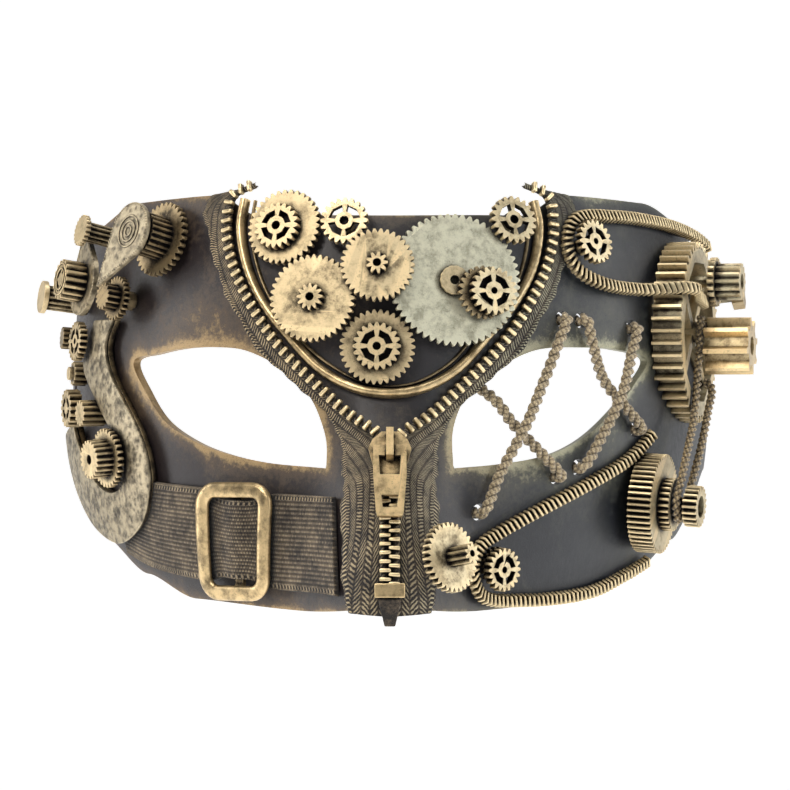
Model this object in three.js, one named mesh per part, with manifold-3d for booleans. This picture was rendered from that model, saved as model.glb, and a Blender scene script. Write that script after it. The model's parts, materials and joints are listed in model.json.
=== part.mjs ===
// Steampunk half-face masquerade mask, in millimetres.
// +Z is up, the mask faces -Y, and the wearer's face is on the +Y side.
// The origin is on the inner side of the nose bridge, on the mid-plane, at eye level.
import * as THREE from 'three';
import { mergeVertices } from 'three/addons/utils/BufferGeometryUtils.js';
import Module from 'manifold-3d';

const wasm = await Module();
wasm.setup();

// ---------- driving dimensions ----------
const HALF_WIDTH = 84; // half of the shell's widest section
const SECTION_DEPTH = 110; // front to back radius of the same section
const SHELL_END = 76; // degrees round the section, where each temple ends
const WALL = 2; // shell thickness
const GAP = 0.3; // clearance between pieces that touch
const NOSE_RISE = 20; // how far the nose ridge stands out at its tip
const NOSE_TOP = 12; // height where the nose ridge starts
const NOSE_TIP = -46; // height where it is full
const SOCKET_SINK = 3; // how far the eye sockets sink
const EYE_SPACING = 74; // centre to centre
const CORD = 2.7; // lacing cord diameter
const LACE_HOLE = CORD + 1.3; // the holes that the lacing passes
const KNOT = LACE_HOLE + 0.6; // the knots that hold it inside the mask
const ROPE = 2; // beaded rope at the temple
const TIE_SLOT = { width: 2.6, height: 11, angle: 72.5, z: 2 }; // slots for a ribbon
const STRAP_WIDTH = 22; // elastic strap
const STRAP_THICK = 1.4;
const BUCKLE_WIDTH = 20.8; // round the cheek
const BUCKLE_HEIGHT = 27;
const BUCKLE_BAR = 3.5;
const TAPE_THICK = 0.9; // zipper tape
const TOOTH_PITCH = 2.3; // along the zipper
const TOOTH_LENGTH = 2.6; // across the zipper
const TOOTH_HEIGHT = 1.6;
const STOP_HEIGHT = 2.9; // bottom stop, along the zipper
const BELT_WIDTH = 3.2;
const BELT_THICK = 1.6;
const CHAIN_TOP = -7.4; // height where the two rows of teeth meet
const CHAIN_BOTTOM = -39.3; // height where the bottom stop begins
const SLIDER_WIDTH = 9.7;
const GEAR_THICK = 1.5; // flat decorative gears

// ---------- materials ----------
function metal(color, roughness = 0.4) {
  return new THREE.MeshStandardMaterial({ color, roughness, metalness: 1 });
}
function matt(color) {
  return new THREE.MeshStandardMaterial({ color, roughness: 0.9, metalness: 0 });
}
const shellPaint = new THREE.MeshStandardMaterial({ color: '#4a4436', roughness: 0.5, metalness: 0.5 });
const oldGold = metal('#d8be8c');
const darkBrass = metal('#8d7343', 0.5);
const silverGold = metal('#c9c8a5', 0.35);
const pewter = metal('#9a9078', 0.5);
const weave = matt('#4b4030');
const cordYarn = matt('#8a7440');

// ---------- solids ----------
function onlyPositions(geometry) {
  geometry.deleteAttribute('normal');
  geometry.deleteAttribute('uv');
  return mergeVertices(geometry, 1e-4);
}

function solidOf(geometry) {
  const merged = onlyPositions(geometry);
  return new wasm.Manifold(new wasm.Mesh({
    numProp: 3,
    vertProperties: new Float32Array(merged.attributes.position.array),
    triVerts: new Uint32Array(merged.index.array),
  }));
}

function geometryOf(solid) {
  const { vertProperties, triVerts } = solid.getMesh();
  const geometry = new THREE.BufferGeometry();
  geometry.setAttribute('position', new THREE.BufferAttribute(new Float32Array(vertProperties), 3));
  geometry.setIndex(new THREE.BufferAttribute(new Uint32Array(triVerts), 1));
  return geometry;
}

function join(geometries) {
  return geometryOf(geometries.map(solidOf).reduce((all, next) => all.add(next)));
}

function cut(geometry, tools) {
  return geometryOf(tools.map(solidOf).reduce((left, tool) => left.subtract(tool), solidOf(geometry)));
}

// Turns a closed mesh the right way out when its mapping mirrored it.
function facingOut(geometry) {
  const p = geometry.attributes.position;
  const index = geometry.index;
  const [a, b, c] = [new THREE.Vector3(), new THREE.Vector3(), new THREE.Vector3()];
  let volume = 0;
  for (let i = 0; i < index.count; i += 3) {
    a.fromBufferAttribute(p, index.getX(i));
    b.fromBufferAttribute(p, index.getX(i + 1));
    c.fromBufferAttribute(p, index.getX(i + 2));
    volume += a.dot(b.cross(c));
  }
  if (volume > 0) return geometry;
  for (let i = 0; i < index.count; i += 3) {
    const first = index.getX(i);
    index.setX(i, index.getX(i + 1));
    index.setX(i + 1, first);
  }
  return geometry;
}

// A block of columns x rows cells whose corners go where the function puts them.
function block(columns, rows, place) {
  const geometry = onlyPositions(new THREE.BoxGeometry(1, 1, 1, columns, rows, 1));
  const p = geometry.attributes.position;
  for (let i = 0; i < p.count; i += 1) {
    const corner = place(p.getX(i) + 0.5, p.getY(i) + 0.5, p.getZ(i) + 0.5);
    p.setXYZ(i, corner.x, corner.y, corner.z);
  }
  return facingOut(geometry);
}

// ---------- the mask's surface ----------
const radians = THREE.MathUtils.degToRad;
const mix = THREE.MathUtils.lerp;

function halfWidthAt(z) {
  return HALF_WIDTH - (z > 0 ? 0.0015 : 0.0045) * z * z;
}

function leanAt(z) {
  return (z > 0 ? 0.0034 : 0.0012) * z * z;
}

function noseAt(x, z) {
  const rise = THREE.MathUtils.smoothstep(NOSE_TOP - z, 0, NOSE_TOP - NOSE_TIP);
  const reach = THREE.MathUtils.clamp((NOSE_TOP - z) / (NOSE_TOP - NOSE_TIP), 0, 1);
  const width = 10 + 6 * reach;
  return (NOSE_RISE * rise) / (1 + (x / width) ** 4);
}

function socketAt(x, z) {
  const across = (Math.abs(x) - EYE_SPACING / 2) / 20;
  return SOCKET_SINK * Math.exp(-across * across - ((z + 1) / 15) ** 2);
}

// The outer surface, by the angle round the head in degrees and the height.
function surface(angle, z) {
  const turn = radians(angle);
  const x = halfWidthAt(z) * Math.sin(turn);
  const y = SECTION_DEPTH * (1 - Math.cos(turn)) + leanAt(z) - noseAt(x, z) + socketAt(x, z) - WALL;
  return new THREE.Vector3(x, y, z);
}

function normalAt(angle, z) {
  const step = 0.02;
  const round = surface(angle + step, z).sub(surface(angle - step, z));
  const up = surface(angle, z + step).sub(surface(angle, z - step));
  return round.cross(up).normalize();
}

function onSkin(angle, z, lift = 0) {
  return surface(angle, z).addScaledVector(normalAt(angle, z), lift);
}

// The shell's edges, as heights by the angle round the head.
function curveThrough(table) {
  return (angle) => {
    const a = Math.abs(angle);
    const next = table.findIndex(([at]) => at >= a);
    if (next <= 0) return table[next === 0 ? 0 : table.length - 1][1];
    const [a0, z0] = table[next - 1];
    const [a1, z1] = table[next];
    return mix(z0, z1, THREE.MathUtils.smoothstep(a, a0, a1));
  };
}
const topEdge = curveThrough([[0, 44.6], [22, 45], [31, 50.4], [50, 50], [66, 45], [SHELL_END, 30]]);
const bottomEdge = curveThrough([
  [0, -44.6], [16, -46.6], [38, -45.4], [50, -40.4], [62, -33], [SHELL_END, -16],
]);

// A block that lies on the surface between two edges, each a list of [angle, z].
function sheet(edgeA, edgeB, { columns, rows, low, high, route = (angle, z) => [z, 0] }) {
  const curve = (list) => new THREE.CatmullRomCurve3(list.map(([a, z]) => new THREE.Vector3(a, z, 0)));
  const [first, second] = [curve(edgeA), curve(edgeB)];
  return block(columns, rows, (u, v, w) => {
    const at = first.getPoint(u).lerp(second.getPoint(u), v);
    const top = typeof high === 'function' ? high(v) : high;
    const [z, rise] = route(at.x, at.y);
    return onSkin(at.x, z, mix(low, top, w) + rise);
  });
}

// A strip of constant width along a route of [angle, z, lift].
function strip(route, { width, thick, steps, rows = 1, crown = 0 }) {
  const curve = new THREE.CatmullRomCurve3(route.map(([a, z, lift]) => new THREE.Vector3(a, z, lift)));
  const place = (t) => {
    const at = curve.getPoint(t);
    return { point: onSkin(at.x, at.y, at.z), out: normalAt(at.x, at.y) };
  };
  return block(steps, rows, (u, v, w) => {
    const { point, out } = place(u);
    const ahead = place(Math.min(1, u + 0.005)).point.sub(place(Math.max(0, u - 0.005)).point);
    const side = out.clone().cross(ahead).normalize();
    const rise = w * (thick + crown * Math.sin(Math.PI * v));
    return point.addScaledVector(side, (v - 0.5) * width).addScaledVector(out, rise);
  });
}

// ---------- gears ----------
function polar(radius, angle) {
  return [radius * Math.cos(angle), radius * Math.sin(angle)];
}

function ringPath(radius, points = 12) {
  const path = new THREE.Path();
  for (let i = 0; i < points; i += 1) {
    const [x, y] = polar(radius, (-2 * Math.PI * i) / points);
    if (i === 0) path.moveTo(x, y);
    else path.lineTo(x, y);
  }
  path.closePath();
  return path;
}

// An arc-shaped window between a hub and a rim.
function arcWindow(inner, outer, from, to) {
  const path = new THREE.Path();
  const steps = 2;
  for (let i = 0; i <= steps; i += 1) {
    const [x, y] = polar(outer, mix(to, from, i / steps));
    if (i === 0) path.moveTo(x, y);
    else path.lineTo(x, y);
  }
  for (let i = 0; i <= steps; i += 1) path.lineTo(...polar(inner, mix(from, to, i / steps)));
  path.closePath();
  return path;
}

// A flat gear. Large teeth have flat roots, small ones pointed roots. bore is a radius, and
// windows is { count, inner, outer, arm } with arm in radians.
function gear({ teeth, radius, depth = 1, thick = GEAR_THICK, bore = 0, windows }) {
  const shape = new THREE.Shape();
  const pitch = (2 * Math.PI) / teeth;
  const pointed = [[radius - depth, -0.5], [radius, -0.14], [radius, 0.14]];
  const flatRooted = [[radius - depth, -0.24], [radius, -0.11], [radius, 0.11], [radius - depth, 0.24]];
  const profile = depth > 1.2 ? flatRooted : pointed;
  for (let i = 0; i < teeth; i += 1) {
    for (const [r, share] of profile) {
      const [x, y] = polar(r, pitch * (i + share));
      if (i === 0 && share === profile[0][1]) shape.moveTo(x, y);
      else shape.lineTo(x, y);
    }
  }
  shape.closePath();
  if (bore > 0) shape.holes.push(ringPath(bore, 10));
  if (windows) {
    const turn = (2 * Math.PI) / windows.count;
    for (let i = 0; i < windows.count; i += 1) {
      const from = i * turn + windows.arm / 2;
      shape.holes.push(arcWindow(windows.inner, windows.outer, from, from + turn - windows.arm));
    }
  }
  return new THREE.ExtrudeGeometry(shape, { depth: thick, bevelEnabled: false });
}

function disc(radius, thick, points = 24) {
  const geometry = new THREE.CylinderGeometry(radius, radius, thick, points);
  return geometry.rotateX(Math.PI / 2).translate(0, 0, thick / 2);
}

// Gears and discs on one axis, joined: each layer is [geometry, height of its underside].
function stack(layers) {
  return join(layers.map(([geometry, from]) => geometry.translate(0, 0, from)));
}

// ---------- the assembly ----------
const mask = new THREE.Group();

function add(name, geometry, material) {
  const mesh = new THREE.Mesh(geometry, material);
  mesh.name = name;
  mask.add(mesh);
  return mesh;
}

// Stands a piece on the surface: its own +Z follows the surface's normal, or the given axis.
function stand(name, geometry, material, { at: [angle, z], lift, spin = 0, axis, centre }) {
  const mesh = add(name, geometry, material);
  const out = axis ? new THREE.Vector3(...axis).normalize() : normalAt(angle, z);
  const sideways = new THREE.Vector3(0, 0, 1).cross(out).normalize();
  const up = out.clone().cross(sideways);
  mesh.quaternion.setFromRotationMatrix(new THREE.Matrix4().makeBasis(sideways, up, out));
  mesh.rotateZ(spin);
  mesh.position.copy(centre ? new THREE.Vector3(...centre) : onSkin(angle, z, lift));
  return mesh;
}

// A foot that closes the distance between a raised piece and the shell below it.
function foot(radius, lift) {
  return [disc(radius, lift - GAP + 0.1, 8), GAP - lift];
}

// ---------- shell ----------
const EYE_RIGHT = [
  [14.5, -13.8], [14.5, -5], [17.5, 2.5], [23.5, 8], [33.5, 13.3], [45, 14.2], [54, 13.8],
  [62, 11.5], [58.5, 5.5], [52.5, -1.5], [45, -7.5], [37, -11], [25, -13],
];
const EYE_LEFT = [
  [-14.6, -13.8], [-14.6, -8], [-16, -2.7], [-18.4, 2.4], [-23.5, 8], [-33.5, 13.3], [-41, 14.2], [-49, 14],
  [-56, 12.8], [-61.9, 11.2], [-58.6, 3.6], [-53.7, -3.2], [-46, -8], [-38, -10.8], [-28.4, -12.7],
];
// Holes for the lacing round the +X eye, as [angle, z].
const LACE_HOLES = { high: [29, 20.8], highOuter: [32.7, 20.6], outer: [43.8, 19], inner: [14.6, -24],
  low: [28, -16], lowOuter: [32.2, -14], corner: [44.6, -5.2] };

function eyeCutter(outline) {
  const shape = new THREE.Shape(outline.map(([x, z]) => new THREE.Vector2(x, z)));
  const reach = 160;
  const geometry = new THREE.ExtrudeGeometry(shape, { depth: reach, bevelEnabled: false });
  return geometry.rotateX(Math.PI / 2).translate(0, 80, 0);
}

function throughHole(angle, z, geometry) {
  const out = normalAt(angle, z);
  const turn = new THREE.Quaternion().setFromUnitVectors(new THREE.Vector3(0, 0, 1), out);
  return geometry.applyQuaternion(turn).translate(...surface(angle, z).toArray());
}

function shellSheet(low, high, columns = 38, rows = 10) {
  return block(columns, rows, (u, v, w) => {
    const s = 2 * u - 1;
    const angle = SHELL_END * (0.45 * s + 0.55 * s ** 3);
    return onSkin(angle, mix(bottomEdge(angle), topEdge(angle), v), mix(low, high, w));
  });
}

// A flat pad inside each temple, with the slot that a ribbon is tied through.
function temple(side) {
  const [angle, z] = [side * TIE_SLOT.angle, TIE_SLOT.z];
  const frame = new THREE.Matrix4();
  const out = normalAt(angle, z);
  const along = new THREE.Vector3(0, 0, 1).cross(out).normalize();
  frame.makeBasis(along, out.clone().cross(along), out).setPosition(surface(angle, z));
  const pad = new THREE.BoxGeometry(8, TIE_SLOT.height + 7, 2.4).translate(0, 0, -2.4).applyMatrix4(frame);
  const slot = new THREE.BoxGeometry(TIE_SLOT.width, TIE_SLOT.height, 16).applyMatrix4(frame);
  return { pad, slot };
}

function maskShell() {
  const sides = [-1, 1].map(temple);
  const body = join([shellSheet(-WALL, 0), ...sides.map((side) => side.pad)]);
  const holes = Object.values(LACE_HOLES).map(([angle, z]) => {
    const drill = new THREE.CylinderGeometry(LACE_HOLE / 2, LACE_HOLE / 2, 12, 10).rotateX(Math.PI / 2);
    return throughHole(angle, z, drill);
  });
  return cut(body, [eyeCutter(EYE_LEFT), eyeCutter(EYE_RIGHT), ...holes, ...sides.map((side) => side.slot)]);
}
add('mask_shell', maskShell(), shellPaint);

// ---------- window bezel and zipper ----------
const BEZEL_ROUTE = [
  [-24.6, 48.5], [-25, 42], [-23.5, 33], [-20.7, 25], [-16.2, 17], [-9.9, 8], [-3.2, 3.6],
  [3.2, 3.6], [9.6, 8], [15.6, 17], [20.4, 25], [23.5, 33], [24.9, 42], [24.3, 48],
];
add('window_bezel', strip(BEZEL_ROUTE.map(([a, z]) => [a, z, 0.5]), {
  width: 2.2, thick: 1.2, crown: 0.8, steps: 32, rows: 2,
}), darkBrass);

// The rows run round the window and then side by side down the nose, a gap apart.
const ROW_ANGLE = THREE.MathUtils.radToDeg(Math.asin((TOOTH_LENGTH / 2 + GAP / 2) / HALF_WIDTH));
function toothLine(side) {
  return [
    [side * 22.5, 51.8], [side * 26.2, 49.6], [side * 27.1, 43], [side * 25.7, 34], [side * 22.5, 25],
    [side * 17.5, 15], [side * 11.5, 6], [side * 5.7, -2.2], [side * (ROW_ANGLE + 0.5), CHAIN_TOP],
    [side * ROW_ANGLE, CHAIN_TOP - 4], [side * ROW_ANGLE, -22], [side * ROW_ANGLE, CHAIN_BOTTOM + 0.5],
  ];
}

function tapeOuterEdge(side) {
  return [
    [side * 31, 50], [side * 32.5, 47], [side * 31.3, 41], [side * 29, 32], [side * 25.7, 23],
    [side * 20, 12], [side * 13.5, 4], [side * 8.4, -4], [side * 7, -12],
    [side * 7, -20], [side * 7.3, -32], [side * 6.9, -45.8],
  ];
}

function tape(side) {
  const inner = toothLine(side);
  inner[inner.length - 1] = [side * 0.5, -46.4];
  inner[inner.length - 2] = [side * 0.4, -22];
  inner[inner.length - 3] = [side * 0.4, CHAIN_TOP - 3];
  return sheet(inner, tapeOuterEdge(side), { columns: 30, rows: 3, low: 0.5, high: 0.5 + TAPE_THICK });
}

// One row of teeth: a narrow rail with a tooth at every pitch, pointing to the other row.
function toothRow(side) {
  const curve = new THREE.CatmullRomCurve3(toothLine(side).map(([a, z]) => onSkin(a, z, 2)));
  const around = new THREE.CatmullRomCurve3(toothLine(side).map(([a, z]) => new THREE.Vector3(a, z, 0)));
  const count = Math.floor(curve.getLength() / TOOTH_PITCH);
  const steps = count * 2;
  return block(steps, 1, (u, v, w) => {
    const step = Math.round(u * steps);
    const t = step / steps;
    const at = around.getPoint(t);
    const ahead = around.getPoint(Math.min(1, t + 0.004));
    const behind = around.getPoint(Math.max(0, t - 0.004));
    const out = normalAt(at.x, at.y);
    const along = onSkin(ahead.x, ahead.y).sub(onSkin(behind.x, behind.y));
    const inward = out.clone().cross(along).normalize().multiplyScalar(-side);
    const reach = step % 2 === 0 ? -0.5 : TOOTH_LENGTH / 2;
    const point = onSkin(at.x, at.y, 1.7 + w * TOOTH_HEIGHT);
    return point.addScaledVector(inward, mix(-TOOTH_LENGTH / 2, reach, v));
  });
}
for (const [side, word] of [[-1, 'left'], [1, 'right']]) {
  add(`zipper_tape_${word}`, tape(side), weave);
  add(`zipper_teeth_${word}`, toothRow(side), oldGold);
}

function stopBlock() {
  return block(4, 2, (u, v, w) => {
    const x = mix(-3.4, 3.4, u);
    const angle = THREE.MathUtils.radToDeg(Math.asin(x / HALF_WIDTH));
    return onSkin(angle, mix(CHAIN_BOTTOM - STOP_HEIGHT, CHAIN_BOTTOM, v), mix(1.7, 3.6, w));
  });
}
add('zipper_bottom_stop', stopBlock(), oldGold);

const tail = block(3, 3, (u, v, w) => {
  const half = mix(1.2, 2.6, v);
  const point = surface(0, mix(-48.6, CHAIN_BOTTOM - STOP_HEIGHT - GAP, v));
  return point.add(new THREE.Vector3(mix(-half, half, u), -mix(1.8, 2.9, w), 0));
});
add('zipper_tail', tail, weave);

// ---------- slider, link and pull ----------
// Local axes of the nose: x across, y up the chain, z out of it.
const SLIDER_Z = -11.4;
const slideTop = surface(0, SLIDER_Z + 4);
const slideFoot = surface(0, SLIDER_Z - 12);
const slideUp = slideTop.clone().sub(slideFoot).normalize();
const slideOut = new THREE.Vector3(1, 0, 0).cross(slideUp);
const slideFrame = new THREE.Matrix4()
  .makeBasis(new THREE.Vector3(1, 0, 0), slideUp, slideOut)
  .setPosition(surface(0, SLIDER_Z));
const PLATE_LIFT = 4.1; // underside of the slider's plate above the skin
const PLATE_THICK = 1.2;
const BRIDGE_RISE = 3.7; // top of the bridge above the plate
const PULL_PIN = { y: -0.5, z: PLATE_LIFT + PLATE_THICK + 1.7 };
const PIN_RADIUS = 0.6;
const PULL_LENGTH = 16.1; // from the pin to the tip
const PULL_TILT = 6; // degrees that it leans in at rest, towards the chain
const BRIDGE_WIDTH = 1.65;

function box(x, y, z, at = [0, 0, 0]) {
  return new THREE.BoxGeometry(x, y, z).translate(...at);
}

function outlineOf(points) {
  return points.map(([x, y]) => new THREE.Vector2(x, y));
}

// The slider's plate with its two wings, flanges beside the chain, and the bridge for the pull.
function slider() {
  const half = SLIDER_WIDTH / 2;
  const right = [[half * 0.72, -6.5], [half * 0.8, -3.5], [half, 0.2], [half * 0.82, 2.4], [half * 0.4, 4.3]];
  const left = right.map(([x, y]) => [-x, y]).reverse();
  const plate = new THREE.ExtrudeGeometry(new THREE.Shape(outlineOf([...right, ...left])), {
    depth: PLATE_THICK, bevelEnabled: false,
  });
  plate.translate(0, 0, PLATE_LIFT);
  const flangeX = TOOTH_LENGTH + GAP / 2 + 0.7;
  const flanges = [-1, 1].map((side) => box(0.7, 3.6, 2.1, [side * flangeX, -4.2, PLATE_LIFT - 0.95]));
  const base = PLATE_LIFT + PLATE_THICK - 0.05;
  const posts = [3.2, -2.4].map((y) => box(BRIDGE_WIDTH, 1.2, BRIDGE_RISE, [0, y, base + BRIDGE_RISE / 2]));
  const beam = box(BRIDGE_WIDTH, 6.8, 0.9, [0, 0.4, base + BRIDGE_RISE - 0.45]);
  return join([plate, ...flanges, ...posts, beam]);
}

// The pull: a tapered frame with an opening, notched round the bridge, and a window near its tip.
function pull() {
  const tip = -PULL_LENGTH;
  const right = [[2.75, tip], [3.1, tip + 1], [3.75, -6.5], [3.75, PIN_RADIUS]];
  const left = right.map(([x, y]) => [-x, y]).reverse();
  const frame = new THREE.Shape(outlineOf([...right, ...left]));
  const notch = BRIDGE_WIDTH / 2 + GAP;
  const opening = [[-notch, -PIN_RADIUS], [-notch, -1.9], [-2.5, -1.9], [-2.2, -6.4], [2.2, -6.4], [2.5, -1.9],
    [notch, -1.9], [notch, -PIN_RADIUS]];
  const window = [[-1.9, tip + 4.9], [-1.6, tip + 2], [1.6, tip + 2], [1.9, tip + 4.9]];
  frame.holes.push(new THREE.Path(outlineOf(opening)), new THREE.Path(outlineOf(window)));
  const plate = new THREE.ExtrudeGeometry(frame, { depth: 2 * PIN_RADIUS, bevelEnabled: false });
  plate.translate(0, 0, -PIN_RADIUS).rotateX(radians(PULL_TILT));
  return plate;
}

function inSlideFrame(name, geometry, material, { y = 0, z = 0 } = {}) {
  return add(name, geometry.translate(0, y, z).applyMatrix4(slideFrame), material);
}
inSlideFrame('zipper_slider', slider(), oldGold);

inSlideFrame('zipper_pull', pull(), oldGold, PULL_PIN);

// ---------- elastic strap and buckle ----------
// The strap passes under the buckle's side bars and over its centre bar, pinched to fit the frame.
const STRAP_MIDDLE = -30.2; // height of its middle under the eye
const STRAP_TOP = [[-51, 14.7], [-44, 12.7], [-33, 11.4], [-18, 10.2], [-8.3, 9.6]];
const STRAP_BOTTOM = [[-53, -4.8], [-46, -7.8], [-36, -9.8], [-19, -11.6], [-8.3, -12]];
const STRAP_DRAWN = 22; // the width that its two edges are listed for
const strapEdge = (edge) => edge.map(([angle, z]) => [angle, STRAP_MIDDLE + (z * STRAP_WIDTH) / STRAP_DRAWN]);
const BUCKLE_FOOT = STRAP_MIDDLE - 14.2;
const CHEEK_ARC = 1.51; // mm of the section per degree at the buckle
const buckleAngle = (z) => mix(-26.8, -24.7, (z - BUCKLE_FOOT) / BUCKLE_HEIGHT);
function threaded(angle, z) {
  const off = angle - buckleAngle(z);
  const pinch = 0.18 * Math.exp(-((off / 5) ** 4));
  return [mix(z, BUCKLE_FOOT + BUCKLE_HEIGHT / 2, pinch), 1.6 * Math.exp(-((off / 2.5) ** 2))];
}
add('elastic_strap', sheet(strapEdge(STRAP_TOP), strapEdge(STRAP_BOTTOM), {
  columns: 28, rows: 5, low: 0.5, high: 0.5 + STRAP_THICK, route: threaded,
}), weave);

// A frame bent to the cheek, with a centre bar on two posts.
function buckle() {
  const halfAngle = BUCKLE_WIDTH / CHEEK_ARC / 2;
  const bentBox = (u0, u1, v0, v1, low, high) => {
    const [columns, rows] = [Math.ceil((u1 - u0) * 2), Math.ceil((v1 - v0) * 5)];
    return block(columns, rows, (u, v, w) => {
      const z = BUCKLE_FOOT + BUCKLE_HEIGHT * mix(v0, v1, v);
      return onSkin(buckleAngle(z) + halfAngle * mix(u0, u1, u), z, mix(low, high, w));
    });
  };
  const low = 0.5 + STRAP_THICK + GAP + 0.1;
  const side = 1 - (2 * BUCKLE_BAR) / BUCKLE_WIDTH;
  const end = BUCKLE_BAR / BUCKLE_HEIGHT;
  const bars = [
    bentBox(-1, 1, 0, end, low, low + 2),
    bentBox(-1, 1, 1 - end, 1, low, low + 2),
    bentBox(-1, -side, 0, 1, low, low + 2),
    bentBox(side, 1, 0, 1, low, low + 2),
    bentBox(-0.1, 0.1, 0.02, 0.98, 0.5, 1.5),
    bentBox(-0.1, 0.1, 0.02, 0.08, 0.5, low + 1),
    bentBox(-0.1, 0.1, 0.94, 0.98, 0.5, low + 1),
  ];
  return join(bars);
}
add('strap_buckle', buckle(), oldGold);

// ---------- gears in the window ----------
const spokes = (count, inner, outer, arm = 0.34) => ({ count, inner, outer, arm });

stand('window_gear_left_base', stack([
  [gear({ teeth: 34, radius: 9.1 }), 0], foot(2, 1.6),
]), oldGold, { at: [-16.8, 41.3], lift: 1.6 });
stand('window_gear_left_top', gear({
  teeth: 20, radius: 5.5, thick: 2, bore: 1.1, windows: spokes(4, 2.3, 3.8),
}), oldGold, { at: [-17.4, 40.9], lift: 3.5 });
stand('window_gear_slotted', stack([
  [gear({ teeth: 20, radius: 5.6, thick: 1.6, bore: 1.1, windows: spokes(4, 2.2, 3.8) }), 0], foot(1.8, 3.5),
]), oldGold, { at: [-6.9, 41.8], lift: 3.5 });
stand('window_gear_lower_left', stack([
  [gear({ teeth: 40, radius: 10.2, bore: 1 }), 0],
  [gear({ teeth: 12, radius: 3.1, thick: 2.1, bore: 1 }), GEAR_THICK - 0.05],
  foot(2.4, 3),
]), oldGold, { at: [-11.6, 24.6], lift: 3 });
stand('window_gear_centre', stack([
  [gear({ teeth: 34, radius: 8.5, bore: 1 }), 0],
  [gear({ teeth: 9, radius: 2.5, thick: 2.1, bore: 1 }), GEAR_THICK - 0.05],
  foot(2.4, 5.4),
]), oldGold, { at: [-1.8, 31.4], lift: 5.4 });
stand('window_gear_bottom_base', stack([
  [gear({ teeth: 34, radius: 8.7, thick: 1.4 }), 0], foot(2.4, 1.2),
]), oldGold, { at: [-1.9, 13.8], lift: 1.2 });
stand('window_gear_bottom_top', gear({
  teeth: 20, radius: 5.5, thick: 2, bore: 1, windows: spokes(4, 2.2, 3.8),
}), oldGold, { at: [-1.9, 13.8], lift: 2.9 });
stand('window_gear_silver', stack([
  [gear({ teeth: 54, radius: 15.6, thick: 1.3 }), 0], foot(4, 2.2),
]), silverGold, { at: [9.8, 28.9], lift: 2.2 });
stand('window_washer', gear({
  teeth: 14, radius: 3.4, depth: 0.1, thick: 1.2, bore: 1.1,
}), oldGold, { at: [9.6, 28.5], lift: 3.8 });
stand('window_gear_right_base', stack([
  [gear({ teeth: 24, radius: 6.2, thick: 1.2 }), 0], [disc(1.8, 1.2, 10), -1.1],
]), darkBrass, { at: [13.7, 25.6], lift: 5.3 });
stand('window_gear_right_top', gear({
  teeth: 20, radius: 5.6, thick: 1.8, bore: 0.8, windows: spokes(4, 2.2, 3.8),
}), oldGold, { at: [14.7, 25.6], lift: 6.8 });
stand('window_gear_upper_right', stack([
  [gear({ teeth: 20, radius: 5.7, thick: 1.8, bore: 1.1, windows: spokes(4, 2.2, 3.8) }), 0], foot(1.8, 5.2),
]), oldGold, { at: [18.6, 41.8], lift: 5.2 });

// ---------- left temple: plates ----------
const HOOK_OUTER = [[-51, 21], [-53, 15], [-51.5, 9], [-47.5, 2], [-43.5, -6], [-41.8, -13], [-42, -20],
  [-45.5, -28], [-53, -32.5], [-61, -29.5], [-67, -22], [-70, -14], [-71, -7]];
const HOOK_INNER = [[-57, 21], [-60.3, 13.5], [-60.5, 9.5], [-56.8, 3.5], [-52.5, -3], [-49, -8.5], [-47.8, -14],
  [-49.5, -19], [-53, -20.3], [-57.5, -18], [-61, -13], [-63.6, -8.5], [-65.5, -4]];
const longer = (edge, drop) => [[edge[0][0] - 1, edge[0][1] + drop], ...edge.slice(1).map(([a, z]) => [a, z + drop])];
const strapPocket = sheet(longer(strapEdge(STRAP_TOP), 0.6), longer(strapEdge(STRAP_BOTTOM), -0.6), {
  columns: 28, rows: 3, low: 0.1, high: 0.5 + STRAP_THICK + GAP,
});
const hookSheet = sheet(HOOK_OUTER, HOOK_INNER, { columns: 32, rows: 2, low: 0.4, high: 3.5 });
add('hook_plate', cut(hookSheet, [strapPocket]), pewter);

// A teardrop plate: a round end of the given radius about the origin and a tip.
function teardrop(radius, tip, thick) {
  const far = Math.hypot(...tip);
  const towards = Math.atan2(tip[1], tip[0]);
  const touch = Math.acos(radius / far);
  const shape = new THREE.Shape();
  shape.moveTo(...tip);
  shape.lineTo(...polar(radius, towards + touch));
  shape.absarc(0, 0, radius, towards + touch, towards - touch + 2 * Math.PI, false);
  shape.closePath();
  return new THREE.ExtrudeGeometry(shape, { depth: thick, bevelEnabled: false, curveSegments: 20 });
}
stand('arm_plate_upper', teardrop(7.2, [-9.4, -13.4], 1.3), pewter, { at: [-41.7, 39.6], lift: 9.4 });
stand('arm_plate_side', stack([
  [teardrop(8, [-4, 14], 1.2), 0], foot(3, 5.6),
]), pewter, { at: [-57.5, 29.5], lift: 5.6 });

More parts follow.
